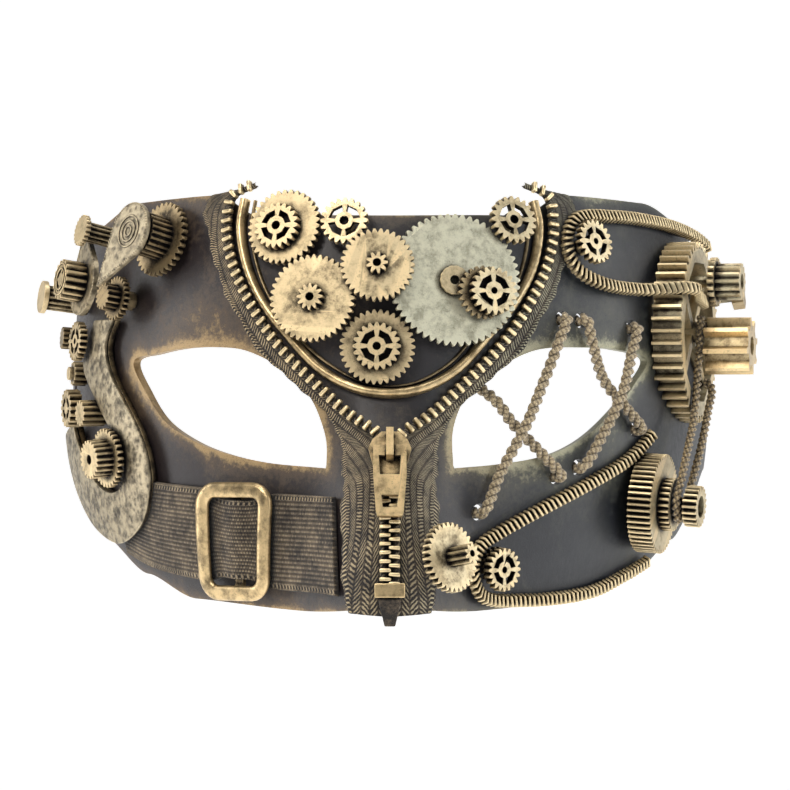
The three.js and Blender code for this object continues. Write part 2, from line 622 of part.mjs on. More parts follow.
// ---------- left temple: gears ----------
// A barrel gear on a wider toothed flange.
function flanged({ flange, flangeTeeth, barrel, barrelTeeth, length, bore = 0, rise }) {
  return stack([
    [gear({ teeth: flangeTeeth, radius: flange, thick: GEAR_THICK }), 0],
    [gear({ teeth: barrelTeeth, radius: barrel, depth: 0.8, thick: length, bore }), GEAR_THICK - 0.05],
    foot(Math.min(2.4, barrel * 0.7), rise),
  ]);
}
stand('temple_left_gear_upper', flanged({
  flange: 9.1, flangeTeeth: 32, barrel: 5.3, barrelTeeth: 22, length: 6, rise: 1.7,
}), darkBrass, { at: [-40.3, 39.6], lift: 1.7 });
stand('temple_left_gear_side', gear({
  teeth: 16, radius: 5, thick: 5.2, windows: spokes(4, 1.7, 3.2),
}), oldGold, { at: [-57.9, 29.6], lift: 7.1 });
stand('temple_left_spool_top', stack([
  [gear({ teeth: 12, radius: 2.5, depth: 0.7, thick: 9.6 }), 0],
  [gear({ teeth: 20, radius: 3.9, depth: 0.5, thick: 1.2 }), 9.5],
]), oldGold, { at: [-54.4, 41], lift: 0.4 });
stand('temple_left_spool_back', stack([
  [gear({ teeth: 14, radius: 3.1, depth: 0.7, thick: 11 }), 0],
  [disc(4.1, 1.3), 10.9],
]), oldGold, { at: [-65.5, 26], lift: 0.4 });
stand('temple_left_gear_under_arm', flanged({
  flange: 5.4, flangeTeeth: 24, barrel: 3.3, barrelTeeth: 14, length: 3.4, rise: 3.9,
}), darkBrass, { at: [-48.4, 25.6], lift: 3.9 });
stand('temple_left_gear_back', stack([
  [gear({ teeth: 12, radius: 2.8, depth: 0.7, thick: 5 }), 0],
]), darkBrass, { at: [-68.4, 17], lift: 0.4 });
stand('temple_left_gear_slotted', gear({
  teeth: 20, radius: 4.9, thick: 1.8, bore: 0.8, windows: spokes(4, 1.9, 3.3),
}), oldGold, { at: [-59.6, 15.8], lift: 4.5 });
stand('temple_left_gear_hub', stack([
  [gear({ teeth: 12, radius: 3, depth: 0.7, thick: 3.4 }), 0],
  [disc(1.7, 1.2, 12), 3.3],
]), oldGold, { at: [-64.6, 8.2], lift: 0.4 });
stand('temple_left_gear_lower', stack([
  [gear({ teeth: 16, radius: 4.7, thick: 3.2, windows: spokes(4, 1.6, 2.9) }), 0], foot(2, 3.4),
]), oldGold, { at: [-62.2, -0.3], lift: 3.4 });
stand('temple_left_pinion', stack([
  [gear({ teeth: 12, radius: 3.2, depth: 0.8, thick: 6.4 }), 0],
]), oldGold, { at: [-56.4, -1.4], lift: 0.4 });
stand('temple_left_gear_hooked', flanged({
  flange: 7.2, flangeTeeth: 28, barrel: 4.7, barrelTeeth: 20, length: 4.4, bore: 1.2, rise: 3.9,
}), oldGold, { at: [-50.6, -11.9], lift: 3.9 });

// ---------- right temple: gears ----------
// The large ring gear stands nearly edge on, so the curved shell cuts into its inner side.
const RING = {
  radius: 22.4, thick: 7.2, axis: [0.954, -0.3, 0], centre: onSkin(59.844, 18.766, -2.828).toArray(),
};
function ringGear() {
  const rim = gear({ teeth: 46, radius: RING.radius, depth: 1.7, thick: RING.thick, bore: 18 });
  const arms = [0, 1].map((i) => box(37, 2.6, 2.4, [0, 0, 4.6]).rotateZ(Math.PI / 4 + (i * Math.PI) / 2));
  return stack([[rim, 0], ...arms.map((arm) => [arm, 0]), [disc(2.7, 6.7, 14), 2.4]]);
}

// Takes away what would reach the shell, leaving a gap.
function clearOfShell(mesh) {
  mesh.updateMatrix();
  const world = mesh.geometry.clone().applyMatrix4(mesh.matrix);
  mesh.geometry = cut(world, [shellSheet(-16, GAP)]);
  mesh.position.set(0, 0, 0);
  mesh.quaternion.identity();
}
clearOfShell(stand('ring_gear', ringGear(), oldGold, {
  at: [50, 15], lift: 0, axis: RING.axis, centre: RING.centre,
}));

const onRing = (up, out) => {
  const axis = new THREE.Vector3(...RING.axis).normalize();
  return new THREE.Vector3(...RING.centre).addScaledVector(axis, out).add(new THREE.Vector3(0, 0, up)).toArray();
};
stand('ring_pinion', gear({
  teeth: 8, radius: 7.1, depth: 2, thick: 11, bore: 2.4,
}), oldGold, { at: [62, 15], lift: 0, axis: RING.axis, centre: onRing(-3.4, RING.thick + 2.2), spin: 0.2 });
stand('temple_right_gear_upper', stack([
  [gear({ teeth: 20, radius: 6.1, depth: 0.8, thick: 1.6 }), 0],
  [gear({ teeth: 14, radius: 4.6, depth: 0.8, thick: 6.2, bore: 2 }), 1.5],
  [disc(1.6, 8, 10), -7.9],
]), oldGold, { at: [67, 30], lift: 0, axis: RING.axis, centre: onRing(12.4, RING.thick + 3) });
stand('hex_bolt', stack([
  [disc(1.3, 8, 10), 0], [disc(3.4, 3, 6), 7.9],
]), darkBrass, { at: [72.5, 27], lift: 0.4 });

stand('temple_right_gear_slotted', stack([
  [gear({ teeth: 20, radius: 5.3, thick: 1.8, bore: 0.8, windows: spokes(4, 2.1, 3.6) }), 0], foot(2, 3.8),
]), oldGold, { at: [33.3, 38], lift: 3.8 });

const CLUSTER_AXIS = [0.93, -0.36, -0.06];
const CLUSTER_FOOT = onSkin(47.695, -22.862, 0.263);
const STACK = { large: 5.6, middle: 2.6, groove: ROPE + 0.7, pinion: 3.4 }; // thicknesses along the axis
const onCluster = (out) => CLUSTER_FOOT.clone()
  .addScaledVector(new THREE.Vector3(...CLUSTER_AXIS).normalize(), out).toArray();
const onStack = (out) => ({ at: [46, -22], lift: 0, axis: CLUSTER_AXIS, centre: onCluster(out) });
clearOfShell(stand('stacked_gear_large', gear({
  teeth: 52, radius: 12, depth: 1, thick: STACK.large,
}), oldGold, onStack(0)));
stand('stacked_gear_middle', gear({
  teeth: 26, radius: 6.4, thick: STACK.middle,
}), oldGold, onStack(STACK.large + GAP));
stand('stacked_pinion', stack([
  [disc(2, STACK.groove + 0.1, 12), 0],
  [gear({ teeth: 20, radius: 5, thick: STACK.pinion, bore: 2.7 }), STACK.groove],
  [disc(3, 1.2, 12), STACK.groove],
]), oldGold, onStack(STACK.large + STACK.middle + 2 * GAP));

// ---------- nose cheek: gears ----------
stand('cheek_gear_large', stack([
  [gear({ teeth: 32, radius: 7.9, thick: 1.8 }), 0],
  [gear({ teeth: 9, radius: 2.3, depth: 0.7, thick: 6.2, bore: 0.8 }), 1.7],
  foot(2.2, 5 - TAPE_THICK - 0.5),
]), oldGold, { at: [6.7, -34.4], lift: 5 });
stand('cheek_gear_slotted', stack([
  [gear({ teeth: 20, radius: 5, thick: 1.8, bore: 0.8, windows: spokes(4, 2, 3.5) }), 0],
]), oldGold, { at: [17, -37], lift: 3.6 });
stand('cheek_gear_behind', stack([
  [gear({ teeth: 18, radius: 4.4, thick: 1.5 }), 0], foot(2.2, 1.7),
]), darkBrass, { at: [16.9, -36.2], lift: 1.7 });

// ---------- ribbed belts, as plain strips ----------
const BELT_UPPER = [[58.5, 24.6, 6.5], [54, 26, 8.2], [51, 27, 10.5], [48.9, 27.5, 9.2], [47, 27.7, 4.8],
  [44, 28, 1.9], [36, 29, 1.9], [31, 32.2, 1.8], [29.4, 38, 1.8], [31.6, 44, 1.8], [40, 45.4, 1],
  [52, 45, 0.9], [61, 43.6, 1.6], [66.5, 41.4, 3], [69, 39.6, 3.8]];
const BELT_LOWER = [[47.8, -6.2, 0.8], [46.2, -8, 0.8], [42, -12.4, 0.8], [34, -17.8, 0.8], [25, -23.6, 0.8],
  [17.6, -28.8, 1], [13.8, -32.2, 1.4], [12.8, -37.4, 1.4], [15.5, -43.2, 1], [24, -44.6, 0.8],
  [38, -43.4, 0.8], [46, -40, 0.8], [52, -37, 0.8]];
add('belt_upper', strip(BELT_UPPER, { width: BELT_WIDTH, thick: BELT_THICK, steps: 44 }), oldGold);
add('belt_lower', strip(BELT_LOWER, { width: BELT_WIDTH, thick: BELT_THICK, steps: 48 }), oldGold);

// ---------- cords ----------
function tube(points, diameter, steps, sides = 8) {
  const curve = new THREE.CatmullRomCurve3(points.map((p) => new THREE.Vector3(...p)));
  const section = new THREE.Shape();
  for (let i = 0; i < sides; i += 1) {
    const [x, y] = polar(diameter / 2, (2 * Math.PI * i) / sides);
    if (i === 0) section.moveTo(x, y);
    else section.lineTo(x, y);
  }
  section.closePath();
  return new THREE.ExtrudeGeometry(section, { steps, extrudePath: curve, bevelEnabled: false });
}

// A lacing cord: a knot inside the mask, the cord through the first hole, over the eye opening,
// and through the second hole to its other knot. between lists its route, as [angle, z, lift].
const KNOT_LIFT = -WALL - GAP - KNOT / 2;
function lacing(start, between, end) {
  const points = [...start, ...between, ...end].map(([a, z, lift]) => onSkin(a, z, lift).toArray());
  const knots = [points[0], points[points.length - 1]];
  const balls = knots.map((p) => new THREE.SphereGeometry(KNOT / 2, 7, 4).translate(...p));
  return join([tube(points, CORD, 18), ...balls]);
}
const outOf = ([a, z]) => [[a, z, KNOT_LIFT], [a, z, -1], [a, z, 1.8]];
const into = (hole) => outOf(hole).reverse();
const OVER = 2 * CORD - 1.3; // lift of a cord where it crosses over another
const LACING = {
  lacing_cord_long: [outOf(LACE_HOLES.high), [[27.2, 15.2, 2], [24.2, 6, 2.4], [20.6, -4, OVER], [17.2, -15, 2.2]],
    into(LACE_HOLES.inner)],
  lacing_cord_corner: [outOf(LACE_HOLES.highOuter), [[33.6, 15.4, 2], [36.8, 6.5, 0.5], [41, -0.4, 1.9]],
    into(LACE_HOLES.corner)],
  lacing_cord_outer: [outOf(LACE_HOLES.outer), [[42.2, 13.2, 2], [38.6, 4, OVER], [35.6, -6.4, 2.4]],
    into(LACE_HOLES.lowOuter)],
  lacing_cord_inner: [[[13, 9.5, -7.2], [15, 5.6, -5]], [[17.2, 1.6, -0.6], [19.6, -3.6, 0.5], [24, -10.4, 1.6]],
    into(LACE_HOLES.low)],
};
for (const [name, parts] of Object.entries(LACING)) add(name, lacing(...parts), cordYarn);

const ROPE_LOOP = [[76.5, 49.8, 22.4], [75.9, 47.8, 14], [75, 44.6, 5], [73.8, 40.6, -3.4], [72, 36, -10],
  [70, 30.4, -17], [68.4, 27.9, -22.6], [69, 30.2, -26.9], [70.9, 34, -25], [73.2, 37.8, -18], [76, 42.4, -9],
  [78, 46.6, -1], [79.2, 50, 4.6], [77.9, 51.4, 6.4]];
add('temple_rope', tube(ROPE_LOOP, ROPE, 36, 6), cordYarn);

// ---------- export ----------
export default mask;
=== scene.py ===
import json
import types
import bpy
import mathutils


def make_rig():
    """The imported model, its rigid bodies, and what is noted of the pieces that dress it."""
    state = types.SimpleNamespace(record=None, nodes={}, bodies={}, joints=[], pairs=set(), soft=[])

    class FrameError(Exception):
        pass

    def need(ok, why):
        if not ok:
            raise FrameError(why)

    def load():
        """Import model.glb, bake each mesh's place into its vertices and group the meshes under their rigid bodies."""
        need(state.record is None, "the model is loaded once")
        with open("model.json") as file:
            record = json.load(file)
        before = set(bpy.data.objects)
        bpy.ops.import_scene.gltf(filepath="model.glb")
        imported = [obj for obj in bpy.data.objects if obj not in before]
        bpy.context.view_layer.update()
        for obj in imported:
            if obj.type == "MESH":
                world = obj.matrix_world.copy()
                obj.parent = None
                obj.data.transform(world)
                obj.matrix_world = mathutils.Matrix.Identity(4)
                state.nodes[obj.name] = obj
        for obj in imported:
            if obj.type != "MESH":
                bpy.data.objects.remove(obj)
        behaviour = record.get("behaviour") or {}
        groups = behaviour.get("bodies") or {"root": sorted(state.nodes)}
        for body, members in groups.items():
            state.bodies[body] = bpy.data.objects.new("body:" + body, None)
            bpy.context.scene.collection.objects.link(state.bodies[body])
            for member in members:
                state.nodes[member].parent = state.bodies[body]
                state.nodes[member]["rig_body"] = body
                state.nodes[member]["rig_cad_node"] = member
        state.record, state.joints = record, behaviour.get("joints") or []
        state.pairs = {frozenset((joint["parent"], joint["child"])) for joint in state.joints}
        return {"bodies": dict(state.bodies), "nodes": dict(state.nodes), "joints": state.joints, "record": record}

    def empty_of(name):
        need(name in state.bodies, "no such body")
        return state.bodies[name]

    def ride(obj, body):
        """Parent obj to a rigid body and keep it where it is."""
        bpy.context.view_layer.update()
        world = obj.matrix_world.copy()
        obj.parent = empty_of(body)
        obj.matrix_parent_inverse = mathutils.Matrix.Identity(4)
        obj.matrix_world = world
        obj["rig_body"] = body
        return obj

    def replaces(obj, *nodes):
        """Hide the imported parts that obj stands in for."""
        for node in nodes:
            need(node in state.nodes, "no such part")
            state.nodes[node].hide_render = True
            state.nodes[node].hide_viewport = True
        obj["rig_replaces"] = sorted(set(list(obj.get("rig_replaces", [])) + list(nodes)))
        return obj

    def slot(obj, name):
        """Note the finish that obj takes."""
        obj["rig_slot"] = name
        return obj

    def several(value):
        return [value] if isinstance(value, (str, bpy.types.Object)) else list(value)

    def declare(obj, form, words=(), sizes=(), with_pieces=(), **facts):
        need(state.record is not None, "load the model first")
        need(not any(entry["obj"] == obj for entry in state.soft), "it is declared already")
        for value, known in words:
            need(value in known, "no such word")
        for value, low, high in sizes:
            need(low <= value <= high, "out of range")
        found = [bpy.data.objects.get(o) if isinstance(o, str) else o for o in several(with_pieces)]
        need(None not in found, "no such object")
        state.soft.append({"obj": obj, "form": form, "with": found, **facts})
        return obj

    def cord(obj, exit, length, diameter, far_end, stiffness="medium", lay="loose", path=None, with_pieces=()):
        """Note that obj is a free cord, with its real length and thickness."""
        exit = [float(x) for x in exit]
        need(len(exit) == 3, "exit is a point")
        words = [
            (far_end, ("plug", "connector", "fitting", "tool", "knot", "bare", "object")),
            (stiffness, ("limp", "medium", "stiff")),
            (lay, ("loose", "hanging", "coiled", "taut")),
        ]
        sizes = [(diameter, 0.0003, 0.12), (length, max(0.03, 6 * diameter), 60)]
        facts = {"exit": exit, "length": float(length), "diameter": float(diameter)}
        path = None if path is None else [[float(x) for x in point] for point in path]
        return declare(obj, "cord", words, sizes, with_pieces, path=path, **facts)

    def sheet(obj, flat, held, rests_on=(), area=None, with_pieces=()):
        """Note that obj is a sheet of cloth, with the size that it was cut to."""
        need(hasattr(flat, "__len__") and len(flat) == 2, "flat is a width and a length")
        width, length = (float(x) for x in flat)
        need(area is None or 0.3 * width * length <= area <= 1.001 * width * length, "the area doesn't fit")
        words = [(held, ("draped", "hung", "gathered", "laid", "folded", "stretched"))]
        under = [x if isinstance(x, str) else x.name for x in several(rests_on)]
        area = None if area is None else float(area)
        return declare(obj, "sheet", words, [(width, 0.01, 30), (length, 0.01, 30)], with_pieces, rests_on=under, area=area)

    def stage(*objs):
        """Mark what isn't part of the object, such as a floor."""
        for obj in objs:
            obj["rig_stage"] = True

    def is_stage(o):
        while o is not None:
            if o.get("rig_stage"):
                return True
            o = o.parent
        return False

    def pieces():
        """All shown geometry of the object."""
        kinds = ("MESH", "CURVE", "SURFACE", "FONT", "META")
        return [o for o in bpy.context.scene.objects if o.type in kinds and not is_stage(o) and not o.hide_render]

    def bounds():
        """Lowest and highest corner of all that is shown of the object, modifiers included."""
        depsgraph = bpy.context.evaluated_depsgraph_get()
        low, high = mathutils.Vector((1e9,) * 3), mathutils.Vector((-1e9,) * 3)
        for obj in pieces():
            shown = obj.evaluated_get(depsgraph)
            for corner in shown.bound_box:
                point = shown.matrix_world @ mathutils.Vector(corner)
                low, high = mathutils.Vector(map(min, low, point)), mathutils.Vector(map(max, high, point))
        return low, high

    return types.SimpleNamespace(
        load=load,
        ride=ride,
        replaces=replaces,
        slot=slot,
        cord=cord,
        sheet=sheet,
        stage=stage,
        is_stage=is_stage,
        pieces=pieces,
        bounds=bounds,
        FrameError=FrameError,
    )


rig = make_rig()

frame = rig.load()

import json
import math
import random

import bmesh
import bpy
from mathutils import Matrix, Vector

CAD_BOX = [list(corner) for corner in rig.bounds()]
MM = 0.001
random.seed(7)

# ---------------------------------------------------------------- sizes, in millimetres
HALF_WIDTH = 84
SECTION_DEPTH = 110
SHELL_END = 76
WALL = 2
TOOTH_PITCH = 2.3
CLOSED_PITCH = 0.84 * TOOTH_PITCH
TOOTH_LENGTH = 2.6
CORD = 2.7
ROPE_SIZE = 2
PAD_ANGLE, PAD_HEIGHT = 72.5, 2  # the middle of each ribbon slot and its pad
SLOT_WIDTH, SLOT_HEIGHT = 2.6, 11
PAD_WIDTH, PAD_LENGTH, PAD_THICKNESS = 8, 18, 1.6
STRAP_THICKNESS = 1.2
TAPE_THICKNESS = 0.7
TAPE_LONG, TAPE_WIDE = 150, 14.5
STRAP_LONG, STRAP_WIDE = 72, 23.5


def in_scene(thing):
    bpy.context.scene.collection.objects.link(thing)


# ---------------------------------------------------------------- camera, floor and lights
def studio():
    camera = bpy.data.objects.new("camera", bpy.data.cameras.new("camera"))
    camera.data.lens = 138.7
    camera.data.sensor_width = 36
    camera.data.clip_end = 20
    camera.location = (1.15 * MM, -0.7, 3 * MM)
    camera.rotation_euler = (math.radians(90), 0, 0)
    in_scene(camera)
    bpy.context.scene.camera = camera

    world = bpy.data.worlds.new("studio")
    world.use_nodes = True
    sky = world.node_tree.nodes["Background"].inputs
    sky["Color"].default_value = (1.0, 0.99, 0.97, 1)
    sky["Strength"].default_value = 0.24
    bpy.context.scene.world = world
    bpy.context.scene.view_settings.view_transform = "Standard"
    bpy.context.scene.view_settings.look = "None"

    def lamp(name, place, size, power, colour=(1, 1, 1)):
        data = bpy.data.lights.new(name, "AREA")
        data.shape = "RECTANGLE"
        data.size, data.size_y = size
        data.energy = power
        data.color = colour
        light = bpy.data.objects.new(name, data)
        light.location = place
        aim = Vector((0, 0.02, 0)) - Vector(place)
        light.rotation_euler = aim.to_track_quat("-Z", "Y").to_euler()
        in_scene(light)

    lamp("key_light", (-0.32, -0.5, 0.46), (0.22, 0.18), 2.6, (1, 0.96, 0.9))
    lamp("fill_light", (0.55, -0.42, 0.16), (0.2, 0.34), 1.3, (0.93, 0.97, 1))
    lamp("top_light", (0.03, -0.06, 0.6), (0.5, 0.16), 1.9)
    lamp("low_light", (-0.1, -0.5, -0.3), (0.5, 0.1), 0.5, (1, 0.93, 0.84))
    lamp("left_edge_light", (-0.6, 0.12, 0.1), (0.16, 0.5), 1.3)
    lamp("right_edge_light", (0.6, 0.1, 0.1), (0.16, 0.5), 1.3)


studio()


# ---------------------------------------------------------------- the mask's surface
def smoothstep(value, low, high):
    t = min(1, max(0, (value - low) / (high - low)))
    return t * t * (3 - 2 * t)


def mix(a, b, t):
    return a + (b - a) * t


def half_width_at(z):
    return HALF_WIDTH - (0.0015 if z > 0 else 0.0045) * z * z


def surface(angle, z):
    turn = math.radians(angle)
    x = half_width_at(z) * math.sin(turn)
    lean = (0.0034 if z > 0 else 0.0012) * z * z
    reach = min(1, max(0, (12 - z) / 58))
    nose = 20 * smoothstep(12 - z, 0, 58) / (1 + (x / (10 + 6 * reach)) ** 4)
    socket = 3 * math.exp(-(((abs(x) - 37) / 20) ** 2) - ((z + 1) / 15) ** 2)
    return Vector((x, SECTION_DEPTH * (1 - math.cos(turn)) + lean - nose + socket - WALL, z))


def normal_at(angle, z):
    step = 0.02
    round_it = surface(angle + step, z) - surface(angle - step, z)
    up = surface(angle, z + step) - surface(angle, z - step)
    return round_it.cross(up).normalized()


def on_skin(angle, z, lift=0):
    return surface(angle, z) + normal_at(angle, z) * lift


def through(table):
    def at(angle):
        a = abs(angle)
        for (a0, z0), (a1, z1) in zip(table, table[1:]):
            if a <= a1:
                return mix(z0, z1, smoothstep(a, a0, a1))
        return table[-1][1]

    return at


top_edge = through([(0, 44.6), (22, 45), (31, 50.4), (50, 50), (66, 45), (SHELL_END, 30)])
bottom_edge = through([(0, -44.6), (16, -46.6), (38, -45.4), (50, -40.4), (62, -33), (SHELL_END, -16)])


def spline(points, t, closed=False):
    """A centripetal Catmull-Rom curve through the points, by a share from 0 to 1."""
    points = [Vector(p) for p in points]
    n = len(points)
    p = (n if closed else n - 1) * t
    i = int(math.floor(p))
    w = p - i
    if closed:
        p0, p1, p2, p3 = (points[(i + k) % n] for k in (-1, 0, 1, 2))
    else:
        if i >= n - 1:
            i, w = n - 2, 1.0
        p1, p2 = points[i], points[i + 1]
        p0 = points[i - 1] if i > 0 else 2 * points[0] - points[1]
        p3 = points[i + 2] if i + 2 < n else 2 * points[n - 1] - points[n - 2]
    d0, d1, d2 = ((b - a).length ** 0.5 or 1 for a, b in ((p0, p1), (p1, p2), (p2, p3)))
    t1 = ((p1 - p0) / d0 - (p2 - p0) / (d0 + d1) + (p2 - p1) / d1) * d1
    t2 = ((p2 - p1) / d1 - (p3 - p1) / (d1 + d2) + (p3 - p2) / d2) * d1
    return p1 + t1 * w + (-3 * p1 + 3 * p2 - 2 * t1 - t2) * w**2 + (2 * p1 - 2 * p2 + t1 + t2) * w**3


def evenly(points, spacing, closed=False, fine=900):
    """Points along the curve at even distances, as (share, point, distance)."""
    line = [spline(points, k / fine, closed) for k in range(fine + 1)]
    length = [0.0]
    for a, b in zip(line, line[1:]):
        length.append(length[-1] + (b - a).length)
    count = max(2, round(length[-1] / spacing))
    out, k = [], 0
    for j in range(count + 1):
        want = length[-1] * j / count
        while k < fine - 1 and length[k + 1] < want:
            k += 1
        step = length[k + 1] - length[k]
        share = (want - length[k]) / step if step else 0
        out.append(((k + share) / fine, line[k].lerp(line[k + 1], share), want))
    return out


# ---------------------------------------------------------------- finishes
class Finish:
    """A procedural material; each method adds one node and gives its output."""

    def __init__(self, name, **constants):
        self.material = bpy.data.materials.new(name)
        self.material.use_nodes = True
        self.tree = self.material.node_tree
        self.shader = self.tree.nodes["Principled BSDF"]
        for key, value in constants.items():
            self.shader.inputs[key.replace("_", " ").title().replace("Ior", "IOR")].default_value = value
        self.place = self.tree.nodes.new("ShaderNodeTexCoord").outputs["Object"]

    def node(self, kind, links=None, **settings):
        made = self.tree.nodes.new("ShaderNode" + kind)
        for key, value in settings.items():
            setattr(made, key, value)
        for key, value in (links or {}).items():
            if isinstance(value, bpy.types.NodeSocket):
                self.tree.links.new(value, made.inputs[key])
            else:
                made.inputs[key].default_value = value
        return made

    def uv(self):
        return self.node("UVMap").outputs["UV"]

    def mark(self, name):
        """A number that the mesh carries at each of its corners."""
        return self.node("Attribute", attribute_name=name).outputs["Fac"]

    def stitched(self, cloth, stitches, hem):
        """The cloth's height, with stitches in its place along the hem."""
        plain = self.math("MULTIPLY", cloth, self.math("SUBTRACT", 1.0, hem))
        return self.math("ADD", plain, self.math("MULTIPLY", stitches, hem))

    def noise(self, size, detail=5, roughness=0.6, where=None, distortion=0.0):
        """Noise with blobs about size millimetres wide."""
        links = {"Vector": where or self.place, "Scale": 1 / (size * MM), "Detail": detail,
                 "Roughness": roughness, "Distortion": distortion}
        return self.node("TexNoise", links).outputs["Fac"]

    def cells(self, size):
        """Rounded dents about size millimetres wide."""
        links = {"Vector": self.place, "Scale": 1 / (size * MM)}
        return self.node("TexVoronoi", links, feature="SMOOTH_F1").outputs["Distance"]

    def math(self, operation, a, b=0.0, clamp=False):
        return self.node("Math", {0: a, 1: b}, operation=operation, use_clamp=clamp).outputs[0]

    def span(self, value, low, high, to_low=0.0, to_high=1.0):
        links = {"Value": value, "From Min": low, "From Max": high, "To Min": to_low, "To Max": to_high}
        return self.node("MapRange", links, interpolation_type="SMOOTHSTEP").outputs["Result"]

    def colours(self, factor, stops):
        ramp = self.node("ValToRGB", {"Fac": factor})
        while len(ramp.color_ramp.elements) < len(stops):
            ramp.color_ramp.elements.new(0.5)
        for element, (at, colour) in zip(ramp.color_ramp.elements, stops):
            element.position = at
            element.color = (*colour, 1)
        return ramp.outputs["Color"]

    def blend(self, factor, a, b, kind="MIX"):
        made = self.node("Mix", {"Factor": factor}, data_type="RGBA", blend_type=kind)
        for socket, value in ((made.inputs[6], a), (made.inputs[7], b)):
            if isinstance(value, bpy.types.NodeSocket):
                self.tree.links.new(value, socket)
            else:
                socket.default_value = (*value, 1)
        return made.outputs[2]

    def hollows(self, distance):
        """1 on open faces, down to 0 in corners that distance millimetres reach across; the finishes darken by it to
        paint shade.
        """
        return self.node("AmbientOcclusion", {"Distance": distance * MM}, samples=6).outputs["AO"]

    def edges(self):
        """1 on sharp outer edges."""
        return self.span(self.node("NewGeometry").outputs["Pointiness"], 0.51, 0.58)

    def weighed(self, *parts):
        """The sum of (value, middle, weight) parts, each (value - middle) * weight."""
        total = None
        for value, middle, weight in parts:
            part = self.math("SUBTRACT", value, middle) if middle else value
            part = self.math("MULTIPLY", part, weight)
            total = part if total is None else self.math("ADD", total, part)
        return total

    def across(self):
        """0 on the wearer's right side and 1 on the left side."""
        x = self.node("SeparateXYZ", {0: self.place}).outputs["X"]
        return self.span(x, -0.03, 0.05)

    def bump(self, height, depth, normal=None, strength=1.0):
        links = {"Height": height, "Distance": depth * MM, "Strength": strength}
        if normal:
            links["Normal"] = normal
        return self.node("Bump", links).outputs["Normal"]

    def connect(self, **sockets):
        for key, value in sockets.items():
            self.tree.links.new(value, self.shader.inputs[key.replace("_", " ").title()])
        return self.material


def old_metal(name, warm, cool, dark, rough=(0.42, 0.64), hollow=2.4, grime=0.5, hammered=0.0, dents=2.2):
    """Gilt or brass with painted shade darkening its hollows to near black, blotched with patina and worn bright on
    its edges.
    """
    f = Finish(name, metallic=0.84)
    bright = f.blend(f.across(), warm, cool)
    mottled = f.noise(3.4, 7, 0.7)
    fine = f.noise(0.5, 5, 0.72)
    tone = f.blend(f.span(mottled, 0.4, 0.66), bright, tuple(0.5 * c for c in warm))
    # painted shade: ambient occlusion darkens hollows and the gaps between parts towards near black
    unshaded_share = f.span(f.hollows(hollow), 0.52, 0.97)
    stain = f.math("MULTIPLY", f.span(mottled, 0.47, 0.68), grime)
    speck = f.math("MULTIPLY", f.span(fine, 0.54, 0.7), grime * 0.9)
    # 1 away from the painted shade, lowered by real stains and specks
    unshaded_and_clean = f.math("SUBTRACT", f.math("SUBTRACT", unshaded_share, stain, True), speck, True)
    shaded_and_aged = f.blend(unshaded_and_clean, dark, tone)
    worn = f.math("MULTIPLY", f.math("MULTIPLY", f.edges(), f.span(fine, 0.32, 0.5)), unshaded_share)
    coat = f.blend(worn, shaded_and_aged, tuple(min(1, 1.22 * c) for c in warm))
    drawn = {"Vector": f.place, "Scale": (0.22, 1, 1), "Rotation": (0, 0.6, 0)}
    scratch = f.noise(0.32, 3, 0.6, f.node("Mapping", drawn).outputs["Vector"])
    normal = f.bump(scratch, 0.02, f.bump(fine, 0.05))
    if hammered:
        dent = f.cells(dents)
        normal = f.bump(dent, hammered, normal)
        coat = f.blend(f.math("MULTIPLY", f.span(dent, 0.5, 0.12), 0.6), coat, dark)
    roughness = f.span(f.math("ADD", fine, f.math("MULTIPLY", unshaded_and_clean, -0.35)), 0.05, 0.75, *rough)
    return f.connect(base_color=coat, roughness=roughness, normal=normal)


def shell_paint():
    """Near-black moulded shell, dry-brushed in broken specks of gold on its rims and edges, with painted highlights of
    gold above the eyes and on the wearer's left cheek.
    """
    f = Finish("shell_paint", coat_weight=0.12, coat_roughness=0.35)
    rubbed_rims_and_highlights = f.mark("rub_and_highlight")
    cloud = f.noise(15, 6, 0.62, distortion=0.4)
    brushed = f.noise(1.3, 8, 0.8)
    fine = f.noise(0.3, 4, 0.75)
    hue = f.across()
    dark = f.blend(hue, (0.016, 0.011, 0.012), (0.008, 0.010, 0.014))
    gold = f.blend(hue, (0.38, 0.265, 0.135), (0.31, 0.30, 0.21))
    middle = f.blend(hue, (0.072, 0.049, 0.032), (0.042, 0.044, 0.038))
    # rim carries both the rubbed gold of the rims and the painted highlights above the eyes and on one cheek
    broken = f.weighed((rubbed_rims_and_highlights, 0, 0.8), (f.span(cloud, 0.42, 0.74), 0, 0.42), (brushed, 0.5, 1.25))
    paint = f.blend(f.span(broken, 0.12, 0.52), dark, middle)
    paint = f.blend(f.span(broken, 0.5, 0.95), paint, gold)
    pocked = f.span(fine, 0.54, 0.66)
    paint = f.blend(f.math("MULTIPLY", pocked, 0.62), paint, dark)
    metal = f.span(broken, 0.4, 0.95, 0.1, 0.7)
    roughness = f.span(brushed, 0.3, 0.7, 0.34, 0.56)
    normal = f.bump(fine, 0.04, f.bump(brushed, 0.12))
    return f.connect(base_color=paint, metallic=metal, roughness=roughness, normal=normal)


